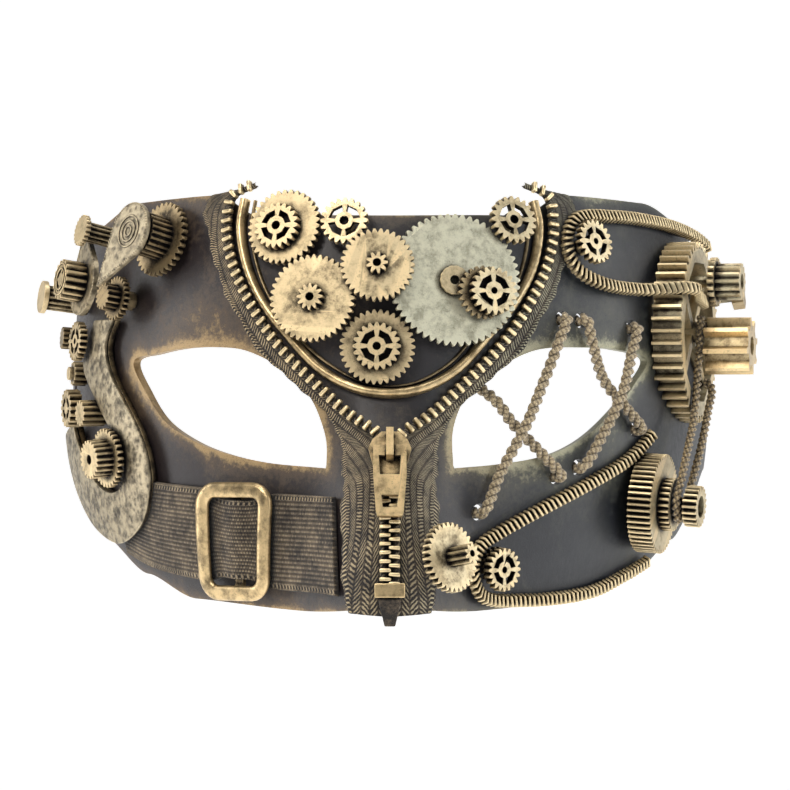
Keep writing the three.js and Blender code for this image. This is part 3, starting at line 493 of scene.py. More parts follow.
def herringbone_weave(name, hue_warm, hue_cool):
    """Zipper tape: columns of slanting threads, gold rubbed over dark cotton, stitched along its edge, with painted
    shade near black in its hollows.
    """
    f = Finish(name, sheen_weight=0.12)
    along = f.node("SeparateXYZ", {0: f.uv()}).outputs
    wander = f.weighed((f.noise(0.9, 3, 0.6), 0.5, 0.8))
    turn = f.math("PINGPONG", along["Y"], 1.9)
    slant = f.math("ADD", f.math("ADD", along["X"], wander), f.math("MULTIPLY", turn, 0.8))
    thread = f.span(f.math("SINE", f.math("MULTIPLY", slant, 2 * math.pi / 0.78)), -0.7, 0.8)
    ridge = f.span(f.math("ABSOLUTE", f.math("SUBTRACT", turn, 0.95)), 0.95, 0.55)
    raised = f.math("MULTIPLY", thread, f.math("ADD", 0.35, f.math("MULTIPLY", ridge, 0.65)))
    beat = f.span(f.math("SINE", f.math("MULTIPLY", along["X"], 2 * math.pi / 0.9)), -0.2, 0.7)
    hem = f.span(f.mark("hem"), 0.2, 0.8)
    raised = f.stitched(raised, beat, hem)
    cloud = f.noise(4.2, 6, 0.68)
    fine = f.noise(0.24, 4, 0.75)
    stitches = f.math("MULTIPLY", hem, beat)
    rubbed = f.weighed((raised, 0, 0.66), (cloud, 0.52, 1.4), (fine, 0.5, 0.8), (stitches, 0, 0.3))
    gold = f.blend(f.across(), hue_warm, hue_cool)
    brown = f.blend(f.span(rubbed, -0.12, 0.4), (0.010, 0.008, 0.007), (0.075, 0.054, 0.034))
    cloth = f.blend(f.span(rubbed, 0.27, 0.85), brown, gold)
    # painted shade: the tape darkens to near black in hollows, beside the teeth and under the parts laid on it
    unshaded_share = f.span(f.hollows(2.2), 0.25, 0.85)
    cloth = f.blend(unshaded_share, (0.009, 0.007, 0.006), cloth)
    metal = f.span(rubbed, 0.4, 0.95, 0.0, 0.45)
    normal = f.bump(fine, 0.05, f.bump(raised, 0.22))
    return f.connect(base_color=cloth, metallic=metal, roughness=f.span(rubbed, 0, 1, 0.85, 0.5), normal=normal)


def elastic_weave():
    """Elastic webbing: rows of short cross threads, gold on the ribs, with a dotted selvedge and painted shade in its
    hollows.
    """
    f = Finish("elastic_weave", sheen_weight=0.1)
    bricks = f.node("TexBrick", {"Vector": f.uv(), "Scale": 1.0, "Brick Width": 0.42, "Row Height": 1.05,
                                 "Mortar Size": 0.1, "Mortar Smooth": 1.0, "Color1": (1, 1, 1, 1),
                                 "Color2": (0.55, 0.55, 0.55, 1), "Mortar": (0, 0, 0, 1)},
                    offset=0.5)
    cloud = f.noise(5.5, 6, 0.65)
    fine = f.noise(0.25, 4, 0.7)
    value = f.node("SeparateColor", {0: bricks.outputs["Color"]}).outputs[0]
    part = f.node("SeparateXYZ", {0: f.uv()}).outputs
    row = f.span(f.math("SINE", f.math("MULTIPLY", part["Y"], 2 * math.pi / 1.05)), -0.8, 0.7)
    value = f.math("MULTIPLY", value, f.math("ADD", 0.3, f.math("MULTIPLY", row, 0.7)))
    hem = f.span(f.mark("hem"), 0.2, 0.8)
    beat = f.span(f.math("SINE", f.math("MULTIPLY", part["X"], 2 * math.pi / 0.85)), -0.2, 0.7)
    value = f.stitched(value, beat, hem)
    rubbed = f.weighed((value, 0, 0.66), (cloud, 0.5, 1.2), (fine, 0.5, 0.7))
    brown = f.blend(f.span(rubbed, -0.1, 0.35), (0.009, 0.007, 0.006), (0.085, 0.062, 0.040))
    cloth = f.blend(f.span(rubbed, 0.25, 0.9), brown, (0.40, 0.31, 0.19))
    # painted shade: the strap darkens to near black where it dips under the buckle's bars and in other hollows
    unshaded_share = f.span(f.hollows(3.2), 0.4, 0.92)
    cloth = f.blend(unshaded_share, (0.008, 0.007, 0.006), cloth)
    normal = f.bump(fine, 0.04, f.bump(value, 0.2))
    return f.connect(base_color=cloth, metallic=f.span(rubbed, 0.4, 0.9, 0, 0.3),
                     roughness=f.span(rubbed, 0, 1, 0.88, 0.55), normal=normal)


def twisted_yarn(name, light, dark):
    """Two-ply yarn of fine fibres with a metallic thread, and painted shade in the grooves between its plies."""
    f = Finish(name, sheen_weight=0.3)
    part = f.node("SeparateXYZ", {0: f.uv()}).outputs
    slant = f.math("ADD", f.math("MULTIPLY", part["Y"], 3.0), f.math("MULTIPLY", part["X"], 1.1))
    fibre = f.math("SINE", f.math("MULTIPLY", slant, 2 * math.pi))
    fine = f.noise(0.22, 4, 0.75)
    # painted shade: the grooves between the plies and where the cord lies on the shell darken
    unshaded_share = f.span(f.hollows(0.9), 0.35, 0.95)
    lit = f.math("ADD", f.math("MULTIPLY", f.span(fibre, -1, 1), 0.4), f.span(fine, 0.3, 0.7))
    thread = f.blend(f.span(lit, 0.3, 1.25), dark, light)
    thread = f.blend(unshaded_share, tuple(0.25 * c for c in dark), thread)
    normal = f.bump(fine, 0.05, f.bump(fibre, 0.07))
    return f.connect(base_color=thread, metallic=f.span(lit, 0.8, 1.3, 0.0, 0.6),
                     roughness=f.span(lit, 0.2, 1.2, 0.7, 0.4), normal=normal)


BLACK = (0.011, 0.009, 0.010)
GILT = old_metal("antique_gilt", (0.62, 0.49, 0.29), (0.56, 0.50, 0.34), BLACK)
GILT_TEETH = old_metal("worn_gilt_teeth", (0.70, 0.56, 0.33), (0.62, 0.55, 0.36), BLACK, (0.32, 0.52), 1.6, 0.35)
BRASS = old_metal("blackened_brass", (0.34, 0.255, 0.14), (0.29, 0.25, 0.16), BLACK, (0.38, 0.6), 2.6, 0.65)
BRIGHT = old_metal("polished_brass", (0.66, 0.49, 0.26), (0.60, 0.48, 0.28), BLACK, (0.3, 0.48), 1.8, 0.35)
SILVER = old_metal("silver_gilt", (0.66, 0.63, 0.47), (0.64, 0.63, 0.50), (0.03, 0.026, 0.018), (0.42, 0.66),
                   1.8, 0.45)
PEWTER = old_metal("hammered_pewter", (0.44, 0.37, 0.25), (0.40, 0.36, 0.27), BLACK, (0.42, 0.66), 2.2, 0.5,
                   hammered=0.2, dents=1.5)
RIBBED = old_metal("ribbed_belt_brass", (0.58, 0.46, 0.27), (0.50, 0.44, 0.29), BLACK, (0.38, 0.58), 1.9, 0.35)
SHELL = shell_paint()
TAPE = herringbone_weave("zipper_weave", (0.47, 0.36, 0.21), (0.34, 0.33, 0.23))
STRAP = elastic_weave()
YARN = twisted_yarn("cord_yarn", (0.60, 0.48, 0.29), (0.12, 0.085, 0.048))
ROPE = twisted_yarn("rope_wire", (0.50, 0.37, 0.19), (0.06, 0.04, 0.02))


# ---------------------------------------------------------------- modelling helpers
def nothing_selected():
    if bpy.context.object and bpy.context.object.mode != "OBJECT":
        bpy.ops.object.mode_set(mode="OBJECT")
    bpy.ops.object.select_all(action="DESELECT")


def only(piece):
    nothing_selected()
    piece.select_set(True)
    bpy.context.view_layer.objects.active = piece


def applied(piece, kind, **settings):
    only(piece)
    modifier = piece.modifiers.new(kind.lower(), kind)
    for key, value in settings.items():
        setattr(modifier, key, value)
    bpy.ops.object.modifier_apply(modifier=modifier.name)


def editing(select_mode="VERT", action="SELECT"):
    bpy.ops.object.mode_set(mode="EDIT")
    bpy.ops.mesh.select_mode(type=select_mode)
    bpy.ops.mesh.select_all(action=action)


def done_editing():
    bpy.ops.mesh.select_mode(type="VERT")
    bpy.ops.object.mode_set(mode="OBJECT")


def turned_outwards(piece, merge=False):
    only(piece)
    editing()
    if merge:
        bpy.ops.mesh.remove_doubles(threshold=2e-6)
    bpy.ops.mesh.normals_make_consistent(inside=False)
    done_editing()


def faces_removed(piece, unwanted):
    only(piece)
    editing("FACE", "DESELECT")
    bpy.ops.object.mode_set(mode="OBJECT")
    for index in unwanted:
        piece.data.polygons[index].select = True
    bpy.ops.object.mode_set(mode="EDIT")
    bpy.ops.mesh.delete(type="FACE")
    done_editing()


def smoothed(piece, angle=40):
    only(piece)
    bpy.ops.object.shade_smooth_by_angle(angle=math.radians(angle))


def finished(piece, name, material, slot, body="mask", replaces=()):
    only(piece)
    bpy.ops.object.transform_apply(location=True, rotation=True, scale=True)
    piece.name = name
    piece.data.materials.clear()
    piece.data.materials.append(material)
    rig.ride(piece, body)
    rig.slot(piece, slot)
    if replaces:
        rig.replaces(piece, *replaces)
    return piece


def rounded_edges(piece, width, segments=2, angle=32):
    applied(piece, "BEVEL", width=width * MM, segments=segments, limit_method="ANGLE",
            angle_limit=math.radians(angle), harden_normals=False)


def grid(name, columns, rows, place, uv=None, hem=None):
    """A sheet of cells whose corners go to place(u, v), in millimetres; hem(v) marks its stitched edges."""
    nothing_selected()
    bpy.ops.mesh.primitive_grid_add(x_subdivisions=columns, y_subdivisions=rows, size=1)
    piece = bpy.context.object
    piece.name = name
    shares = [(v.co.x + 0.5, v.co.y + 0.5) for v in piece.data.vertices]
    for vertex, (u, v) in zip(piece.data.vertices, shares):
        vertex.co = Vector(place(u, v)) * MM
    if uv:
        layer = piece.data.uv_layers.active or piece.data.uv_layers.new(name="UVMap")
        for loop in piece.data.loops:
            layer.data[loop.index].uv = uv(*shares[loop.vertex_index])
    if hem:
        marks = piece.data.attributes.new("hem", "FLOAT", "POINT")
        for vertex, (u, v) in zip(piece.data.vertices, shares):
            marks.data[vertex.index].value = hem(v)
    return piece


def thickened(piece, thickness, offset=-1):
    applied(piece, "SOLIDIFY", thickness=thickness * MM, offset=offset, use_even_offset=True)


def crisp_copy(node, material, slot, body="mask", bevel=0.14, segments=2):
    """A CAD piece with its corners rounded as cast or stamped metal has them."""
    source = frame["nodes"][node]
    piece = bpy.data.objects.new(node + "_fine", source.data.copy())
    in_scene(piece)
    only(piece)
    editing()
    bpy.ops.mesh.remove_doubles(threshold=2e-6)
    bpy.ops.mesh.dissolve_limited(angle_limit=math.radians(1.2))
    done_editing()
    rounded_edges(piece, bevel, segments, 30)
    smoothed(piece, 38)
    applied(piece, "WEIGHTED_NORMAL", keep_sharp=True)
    return finished(piece, node + "_fine", material, slot, body, [node])


def joined(name, parts):
    nothing_selected()
    for part in parts:
        part.select_set(True)
    bpy.context.view_layer.objects.active = parts[0]
    bpy.ops.object.join()
    parts[0].name = name
    return parts[0]


def copies(model, places):
    """A copy of the model's mesh at each matrix."""
    made = []
    for place in places:
        copy = bpy.data.objects.new(model.name, model.data.copy())
        copy.data.transform(place)
        in_scene(copy)
        made.append(copy)
    bpy.data.objects.remove(model)
    return made


def axes_at(point, x, y, z):
    """A matrix that puts a model's axes along x, y and z, at a point in millimetres."""
    turn = Matrix((x, y, z)).transposed().to_4x4()
    return Matrix.Translation(Vector(point) * MM) @ turn


def standing(angle, z, lift):
    """Axes on the shell: along it, up it and out of it."""
    out = normal_at(angle, z)
    along = Vector((0, 0, 1)).cross(out).normalized()
    return axes_at(on_skin(angle, z, lift), along, out.cross(along), out)


# ---------------------------------------------------------------- cords
def frames_along(points):
    """Directions along a line of points, with a side vector that doesn't twist."""
    last = len(points) - 1
    ahead = [(points[min(i + 1, last)] - points[max(i - 1, 0)]).normalized() for i in range(last + 1)]
    side = ahead[0].orthogonal().normalized()
    out = []
    for direction in ahead:
        side = (side - direction * side.dot(direction)).normalized()
        out.append((direction, side, direction.cross(side)))
    return out


def twisted(name, route, diameter, lay, material, node, plies=2, sides=8, step=0.42):
    """A laid cord: its plies wind round the route once every lay millimetres."""
    spots = evenly(route, step)
    points = [spot[1] for spot in spots]
    frames = frames_along(points)
    ply = diameter * 0.31
    offset = diameter / 2 - ply
    verts, faces, uvs = [], [], []
    for k in range(plies):
        start = len(verts)
        for (_, point, run), (_, side, up) in zip(spots, frames):
            turn = 2 * math.pi * (run / lay + k / plies)
            centre = point + (side * math.cos(turn) + up * math.sin(turn)) * offset
            for j in range(sides):
                a = 2 * math.pi * j / sides
                verts.append((centre + (side * math.cos(a) + up * math.sin(a)) * ply) * MM)
        rings = len(points)
        for i in range(rings - 1):
            for j in range(sides):
                a, b = start + i * sides + j, start + i * sides + (j + 1) % sides
                faces.append((a, b, b + sides, a + sides))
                run0, run1 = spots[i][2], spots[i + 1][2]
                v0, v1 = j / sides, (j + 1) / sides
                uvs.append([(run0, v0), (run0, v1), (run1, v1), (run1, v0)])
        for i in (0, rings - 1):
            ring = [start + i * sides + j for j in range(sides)]
            faces.append(tuple(reversed(ring)) if i == 0 else tuple(ring))
            uvs.append([(0, 0)] * sides)
    mesh = bpy.data.meshes.new(name)
    mesh.from_pydata(verts, [], faces)
    layer = mesh.uv_layers.new(name="UVMap")
    for polygon, corners in zip(mesh.polygons, uvs):
        for loop, uv in zip(polygon.loop_indices, corners):
            layer.data[loop].uv = uv
    piece = bpy.data.objects.new(name, mesh)
    in_scene(piece)
    turned_outwards(piece)
    smoothed(piece, 70)
    finished(piece, name, material, "cord_yarn", "mask", [node])
    path = [tuple(p * MM) for p in points]
    return piece, path, spots[-1][2] * MM


def knot(name, centre):
    """A round stopper knot: three turns of the cord pulled tight."""
    turns = []
    for tilt, about in ((0, "X"), (62, "X"), (58, "Y")):
        nothing_selected()
        bpy.ops.mesh.primitive_torus_add(major_radius=1.15 * MM, minor_radius=0.86 * MM,
                                         major_segments=20, minor_segments=9)
        turn = bpy.context.object
        leaning = Matrix.Rotation(math.radians(tilt), 4, about)
        turn.data.transform(Matrix.Translation(Vector(centre) * MM) @ leaning)
        turns.append(turn)
    piece = joined(name, turns)
    smoothed(piece, 80)
    return finished(piece, name, YARN, "cord_yarn")


LACE_HOLES = {"high": (29, 20.8), "high_outer": (32.7, 20.6), "outer": (43.8, 19), "inner": (14.6, -24),
              "low": (28, -16), "low_outer": (32.2, -14), "corner": (44.6, -5.2)}
LACE_HOLE = CORD + 1.3
KNOT_LIFT = -WALL - 0.3 - (LACE_HOLE + 0.6) / 2
OVER = 2 * CORD - 1.3  # the lift of a cord that crosses another


def out_of(hole):
    a, z = LACE_HOLES[hole]
    return [(a, z, KNOT_LIFT), (a, z, -1), (a, z, 1.8)]


def into(hole):
    return list(reversed(out_of(hole)))


LACING = {
    "lacing_cord_long": out_of("high") + [(27.2, 15.2, 2), (24.2, 6, 2.4), (20.6, -4, OVER), (17.2, -15, 2.2)]
    + into("inner"),
    "lacing_cord_corner": out_of("high_outer") + [(33.6, 15.4, 2), (36.8, 6.5, 0.5), (41, -0.4, 1.9)]
    + into("corner"),
    "lacing_cord_outer": out_of("outer") + [(42.2, 13.2, 2), (38.6, 4, OVER), (35.6, -6.4, 2.4)]
    + into("low_outer"),
    "lacing_cord_inner": [(13, 9.5, -7.2), (15, 5.6, -5), (17.2, 1.6, -0.6), (19.6, -3.6, 0.5), (24, -10.4, 1.6)]
    + into("low"),
}
for cord_name, route in LACING.items():
    line = [on_skin(*spot) for spot in route]
    cord, path, length = twisted(cord_name + "_yarn", line, CORD + 0.2, 4.7, YARN, cord_name)
    ends = [knot(cord_name + "_knot_" + word, at) for word, at in (("start", line[0]), ("end", line[-1]))]
    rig.cord(cord, exit=path[0], length=length, diameter=CORD * MM, far_end="knot", stiffness="limp",
            lay="taut", path=path, with_pieces=ends)

ROPE_LOOP = [(76.5, 49.8, 22.4), (75.9, 47.8, 14), (75, 44.6, 5), (73.8, 40.6, -3.4), (72, 36, -10),
             (70, 30.4, -17), (68.4, 27.9, -22.6), (69, 30.2, -26.9), (70.9, 34, -25), (73.2, 37.8, -18),
             (76, 42.4, -9), (78, 46.6, -1), (79.2, 50, 4.6), (77.9, 51.4, 6.4)]
rope, path, length = twisted("temple_rope_beads", ROPE_LOOP, ROPE_SIZE + 0.2, 3.1, ROPE, "temple_rope", step=0.3)
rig.cord(rope, exit=path[0], length=length, diameter=ROPE_SIZE * MM, far_end="object", stiffness="medium",
        lay="taut", path=path)


# ---------------------------------------------------------------- the shell
EYE_RIGHT = [(14.5, -13.8), (14.5, -5), (17.5, 2.5), (23.5, 8), (33.5, 13.3), (45, 14.2), (54, 13.8),
             (62, 11.5), (58.5, 5.5), (52.5, -1.5), (45, -7.5), (37, -11), (25, -13)]
EYE_LEFT = [(-14.6, -13.8), (-14.6, -8), (-16, -2.7), (-18.4, 2.4), (-23.5, 8), (-33.5, 13.3), (-41, 14.2),
            (-49, 14), (-56, 12.8), (-61.9, 11.2), (-58.6, 3.6), (-53.7, -3.2), (-46, -8), (-38, -10.8),
            (-28.4, -12.7)]
FLAT = 1.5  # millimetres per degree on the unrolled sheet


def flat_outlines():
    """The shell's openings as closed outlines on the unrolled sheet."""
    outlines = []
    for side, table in ((-1, EYE_LEFT), (1, EYE_RIGHT)):
        corners = [(x, z, 0) for x, z in table + table[:1]]
        eye = [spline(corners, k / 150) for k in range(150)]
        outlines.append([(math.degrees(math.asin(p.x / half_width_at(p.y))) * FLAT, p.y) for p in eye])
        wide, high = SLOT_WIDTH / 2, SLOT_HEIGHT / 2
        outlines.append([(side * PAD_ANGLE * FLAT + x * 1.05, PAD_HEIGHT + z) for x, z in
                         [(-wide, -high), (wide, -high), (wide, 0), (wide, high), (-wide, high), (-wide, 0)]])
    for angle, z in LACE_HOLES.values():
        outlines.append([(angle * FLAT + LACE_HOLE / 2 * math.cos(k * math.pi / 10),
                          z + LACE_HOLE / 2 * math.sin(k * math.pi / 10)) for k in range(20)])
    return outlines


def inside(point, outline):
    x, y = point
    crossings = False
    for (x0, y0), (x1, y1) in zip(outline, outline[1:] + outline[:1]):
        if (y0 > y) != (y1 > y) and x < (x1 - x0) * (y - y0) / (y1 - y0) + x0:
            crossings = not crossings
    return crossings


def nearest(point, outline):
    p = Vector(point)
    best = None
    for a, b in zip(outline, outline[1:] + outline[:1]):
        a, b = Vector(a), Vector(b)
        t = min(1, max(0, (p - a).dot(b - a) / max((b - a).length_squared, 1e-9)))
        at = a.lerp(b, t)
        gap = (p - at).length
        if best is None or gap < best[0]:
            best = (gap, at)
    return best


def mask_shell():
    def unrolled(u, v):
        s = 2 * u - 1
        angle = SHELL_END * (0.8 * s + 0.2 * s**3)
        return (angle * FLAT, mix(bottom_edge(angle), top_edge(angle), v), 0)

    shell = grid("mask_shell_fine", 300, 110, unrolled)
    outlines = flat_outlines()
    mesh = shell.data
    flat = [(v.co.x / MM, v.co.y / MM) for v in mesh.vertices]
    cut, touched = [], {}
    for outline in outlines:
        low = [min(p[i] for p in outline) - 1 for i in (0, 1)]
        high = [max(p[i] for p in outline) + 1 for i in (0, 1)]
        for polygon in mesh.polygons:
            centre = (polygon.center.x / MM, polygon.center.y / MM)
            near = low[0] < centre[0] < high[0] and low[1] < centre[1] < high[1]
            if near and inside(centre, outline):
                cut.append(polygon.index)
                for index in polygon.vertices:
                    touched[index] = outline
    for index, outline in touched.items():
        flat[index] = tuple(nearest(flat[index], outline)[1])
    rub_and_highlight = mesh.attributes.new("rub_and_highlight", "FLOAT", "POINT")
    for vertex, (x, y) in zip(mesh.vertices, flat):
        eyes = 30
        if abs(y) < 32 and abs(x) > 8:
            eyes = min(nearest((x, y), outlines[k])[0] for k in (0, 2))
        angle = x / FLAT
        edge = min(top_edge(angle) - y, y - bottom_edge(angle))
        amount = 0.95 * math.exp(-eyes / 1.6) + 0.36 * math.exp(-eyes / 7) + 0.75 * math.exp(-edge / 1.6)
        # painted highlight: a gold band above both eyes and a patch below the wearer's left eye stand for where light
        # falls on the shell
        amount += 0.34 * math.exp(-(((abs(x) - 40) / 26) ** 2) - ((y - 21) / 7) ** 2)
        amount += 0.30 * math.exp(-(((x - 48) / 26) ** 2) - ((y + 20) / 7) ** 2)
        rub_and_highlight.data[vertex.index].value = min(1, amount)
        vertex.co = on_skin(angle, y) * MM
    faces_removed(shell, cut)
    thickened(shell, WALL)
    rounded_edges(shell, 0.62, 3, 55)
    smoothed(shell, 50)
    finished(shell, "mask_shell_fine", SHELL, "shell_paint", "mask", ["mask_shell"])


mask_shell()


def tie_pad(side, word):
    """The flat pad inside a temple, with the ribbon slot through it."""
    nothing_selected()
    bpy.ops.mesh.primitive_grid_add(x_subdivisions=3, y_subdivisions=3, size=1)
    pad = bpy.context.object
    for vertex in pad.data.vertices:
        x, y = vertex.co.x, vertex.co.y
        wide = PAD_WIDTH if abs(x) > 0.3 else SLOT_WIDTH
        high = PAD_LENGTH if abs(y) > 0.3 else SLOT_HEIGHT
        vertex.co = Vector((math.copysign(wide / 2, x), math.copysign(high / 2, y), 0)) * MM
    faces_removed(pad, [face.index for face in pad.data.polygons if face.center.length < 1 * MM])
    thickened(pad, PAD_THICKNESS)
    rounded_edges(pad, 0.35, 2, 40)
    pad.data.transform(standing(side * PAD_ANGLE, PAD_HEIGHT, -WALL))
    smoothed(pad)
    finished(pad, "tie_pad_" + word, SHELL, "shell_paint")


tie_pad(-1, "right")
tie_pad(1, "left")


# ---------------------------------------------------------------- strips and belts on the surface
def strip_frame(route, share):
    def at(t):
        spot = spline(route, t)
        return on_skin(spot.x, spot.y, spot.z), normal_at(spot.x, spot.y)

    point, out = at(share)
    ahead = (at(min(1, share + 0.003))[0] - at(max(0, share - 0.003))[0]).normalized()
    side = out.cross(ahead).normalized()
    return point, ahead, side, out


def swept_strip(name, route, width, height, steps, sides=14, flatness=1.0):
    """A bar with a rounded back along a route of (angle, height, lift)."""
    def place(u, v):
        point, ahead, side, out = strip_frame(route, u)
        a = math.pi * v
        x, z = -math.cos(a), math.sin(a)
        x, z = (math.copysign(abs(value) ** flatness, value) for value in (x, z))
        return point + side * (x * width / 2) + out * (z * height)

    bar = grid(name, steps, sides, place, lambda u, v: (u * 100, v * width))
    turned_outwards(bar)
    editing("EDGE", "DESELECT")
    bpy.ops.mesh.select_non_manifold()
    bpy.ops.mesh.edge_face_add()
    done_editing()
    turned_outwards(bar)
    smoothed(bar, 50)
    return bar


BEZEL_ROUTE = [(-24.6, 48.5), (-25, 42), (-23.5, 33), (-20.7, 25), (-16.2, 17), (-9.9, 8), (-3.2, 3.6),
               (3.2, 3.6), (9.6, 8), (15.6, 17), (20.4, 25), (23.5, 33), (24.9, 42), (24.3, 48)]
bezel = swept_strip("window_bezel_fine", [(a, z, 0.45) for a, z in BEZEL_ROUTE], 2.3, 2.0, 150, 12, 0.85)
finished(bezel, "window_bezel_fine", BRIGHT, "old_gold", "mask", ["window_bezel"])
inner_route = [(a * 0.935, z + 1.7 if abs(a) < 16 else z, 0.1) for a, z in BEZEL_ROUTE]
groove = swept_strip("window_bezel_inner_line", inner_route, 0.9, 0.75, 150, 8)
finished(groove, "window_bezel_inner_line", BRASS, "old_gold")

BELT_UPPER = [(58.5, 24.6, 6.5), (54, 26, 8.2), (51, 27, 10.5), (48.9, 27.5, 9.2), (47, 27.7, 4.8),
              (44, 28, 1.9), (36, 29, 1.9), (31, 32.2, 1.8), (29.4, 38, 1.8), (31.6, 44, 1.8), (40, 45.4, 1), (52, 45, 0.9),
              (61, 43.6, 1.6), (66.5, 41.4, 3), (69, 39.6, 3.8)]
BELT_LOWER = [(47.8, -6.2, 0.8), (46.2, -8, 0.8), (42, -12.4, 0.8), (34, -17.8, 0.8), (25, -23.6, 0.8),
              (17.6, -28.8, 1), (13.8, -32.2, 1.4), (12.8, -37.4, 1.4), (15.5, -43.2, 1), (24, -44.6, 0.8),
              (38, -43.4, 0.8), (46, -40, 0.8), (52, -37, 0.8)]
RIB_PITCH, RIB_SLANT = 1.42, 0.3


def strip_spots(route, spacing):
    """Shares along a strip at even distances on the surface."""
    line = [on_skin(*spline(route, k / 700)) for k in range(701)]
    run = [0.0]
    for a, b in zip(line, line[1:]):
        run.append(run[-1] + (b - a).length)
    count = round(run[-1] / spacing)
    shares, k = [], 0
    for j in range(count):
        want = run[-1] * (j + 0.5) / count
        while run[k + 1] < want:
            k += 1
        shares.append((k + (want - run[k]) / (run[k + 1] - run[k])) / 700)
    return shares


def rib_model(length, width, height):
    nothing_selected()
    bpy.ops.mesh.primitive_cube_add(size=1)
    rib = bpy.context.object
    rib.data.transform(Matrix.Diagonal((length * MM, width * MM, height * MM, 1)))
    for vertex in rib.data.vertices:
        if vertex.co.z > 0:
            vertex.co.x *= 0.7
            vertex.co.y *= 0.74
    rounded_edges(rib, 0.26, 2, 30)
    smoothed(rib, 60)
    return rib


def ribbed_belt(node, route):
    core = swept_strip(node + "_core", [(a, z, lift + 0.05) for a, z, lift in route], 2.6, 0.9, 160, 6)
    finished(core, node + "_core", BRASS, "old_gold")
    places = []
    for share in strip_spots(route, RIB_PITCH):
        point, ahead, side, out = strip_frame(route, share)
        jitter = random.uniform(-0.06, 0.06)
        slant = Matrix.Rotation(RIB_SLANT + jitter, 4, "Z")
        places.append(axes_at(point + out * (0.92 + jitter), ahead, side, out) @ slant)
    ribs = joined(node + "_ribs", copies(rib_model(0.92, 3.5, 1.9), places))
    finished(ribs, node + "_ribs", RIBBED, "old_gold", "mask", [node])


ribbed_belt("belt_upper", BELT_UPPER)
ribbed_belt("belt_lower", BELT_LOWER)

# ---------------------------------------------------------------- zipper
ROW_ANGLE = math.degrees(math.asin((TOOTH_LENGTH / 2 + 0.15) / HALF_WIDTH))
CHAIN_TOP, CHAIN_BOTTOM = -7.4, -39.3


def tooth_line(side):
    return [(side * a, z, 0) for a, z in
            [(22.5, 51.8), (26.2, 49.6), (27.1, 43), (25.7, 34), (22.5, 25), (17.5, 15), (11.5, 6), (5.7, -2.2),
             (ROW_ANGLE + 0.5, CHAIN_TOP), (ROW_ANGLE, CHAIN_TOP - 4), (ROW_ANGLE, -22),
             (ROW_ANGLE, CHAIN_BOTTOM + 0.5)]]


def tape_outer(side):
    return [(side * a, z, 0) for a, z in
            [(31, 50), (32.5, 47), (31.3, 41), (29, 32), (25.7, 23), (20, 12), (13.5, 4), (8.4, -4), (7, -12),
             (7, -20), (7.3, -32), (6.9, -45.8)]]


def tooth_model():
    """One cast tooth: a broad foot clamped on the tape and a narrower rounded head."""
    nothing_selected()
    bpy.ops.mesh.primitive_cube_add(size=1)
    tooth = bpy.context.object
    tooth.data.transform(Matrix.Diagonal((TOOTH_LENGTH * MM, 1.15 * MM, 1.6 * MM, 1)))
    for vertex in tooth.data.vertices:
        if vertex.co.x > 0:
            vertex.co.y *= 0.86
        if vertex.co.z > 0:
            vertex.co.y *= 0.82
    rounded_edges(tooth, 0.3, 2, 30)
    smoothed(tooth, 60)
    return tooth


def tooth_rows(side, word):
    route = tooth_line(side)
    fine = 0.1
    shares, last = [], -9
    for number, share in enumerate(strip_spots([(a, z, 2.4) for a, z, _ in route], fine)):
        closed = smoothstep(-spline(route, share).y, -CHAIN_TOP - 2, -CHAIN_TOP + 2)
        if (number - last) * fine >= mix(TOOTH_PITCH, CLOSED_PITCH, closed):
            shares.append(share)
            last = number
    places = []
    for share in shares:
        point, ahead, across, out = strip_frame(route, share)
        inward = across * (-side)
        reach = 0.4 if spline(route, share).y < CHAIN_TOP - 1 else 0.12
        wobble = random.uniform(-0.06, 0.06)
        at = point + out * (2.5 + wobble * 0.5) + inward * reach
        if side > 0:
            at = at + ahead * (TOOTH_PITCH * 0.42)
        along = out.cross(inward)
        places.append(axes_at(at, inward, along, out) @ Matrix.Rotation(wobble, 4, "Z"))
    teeth = joined("zipper_teeth_" + word + "_cast", copies(tooth_model(), places))
    finished(teeth, teeth.name, GILT_TEETH, "old_gold", "mask", ["zipper_teeth_" + word])
    bead_route = [(spot[0], spot[1], 1.35) for spot in route]
    bead = swept_strip("zipper_bead_" + word, bead_route, 1.5, 0.75, 150, 6)
    finished(bead, bead.name, TAPE, "zipper_weave")


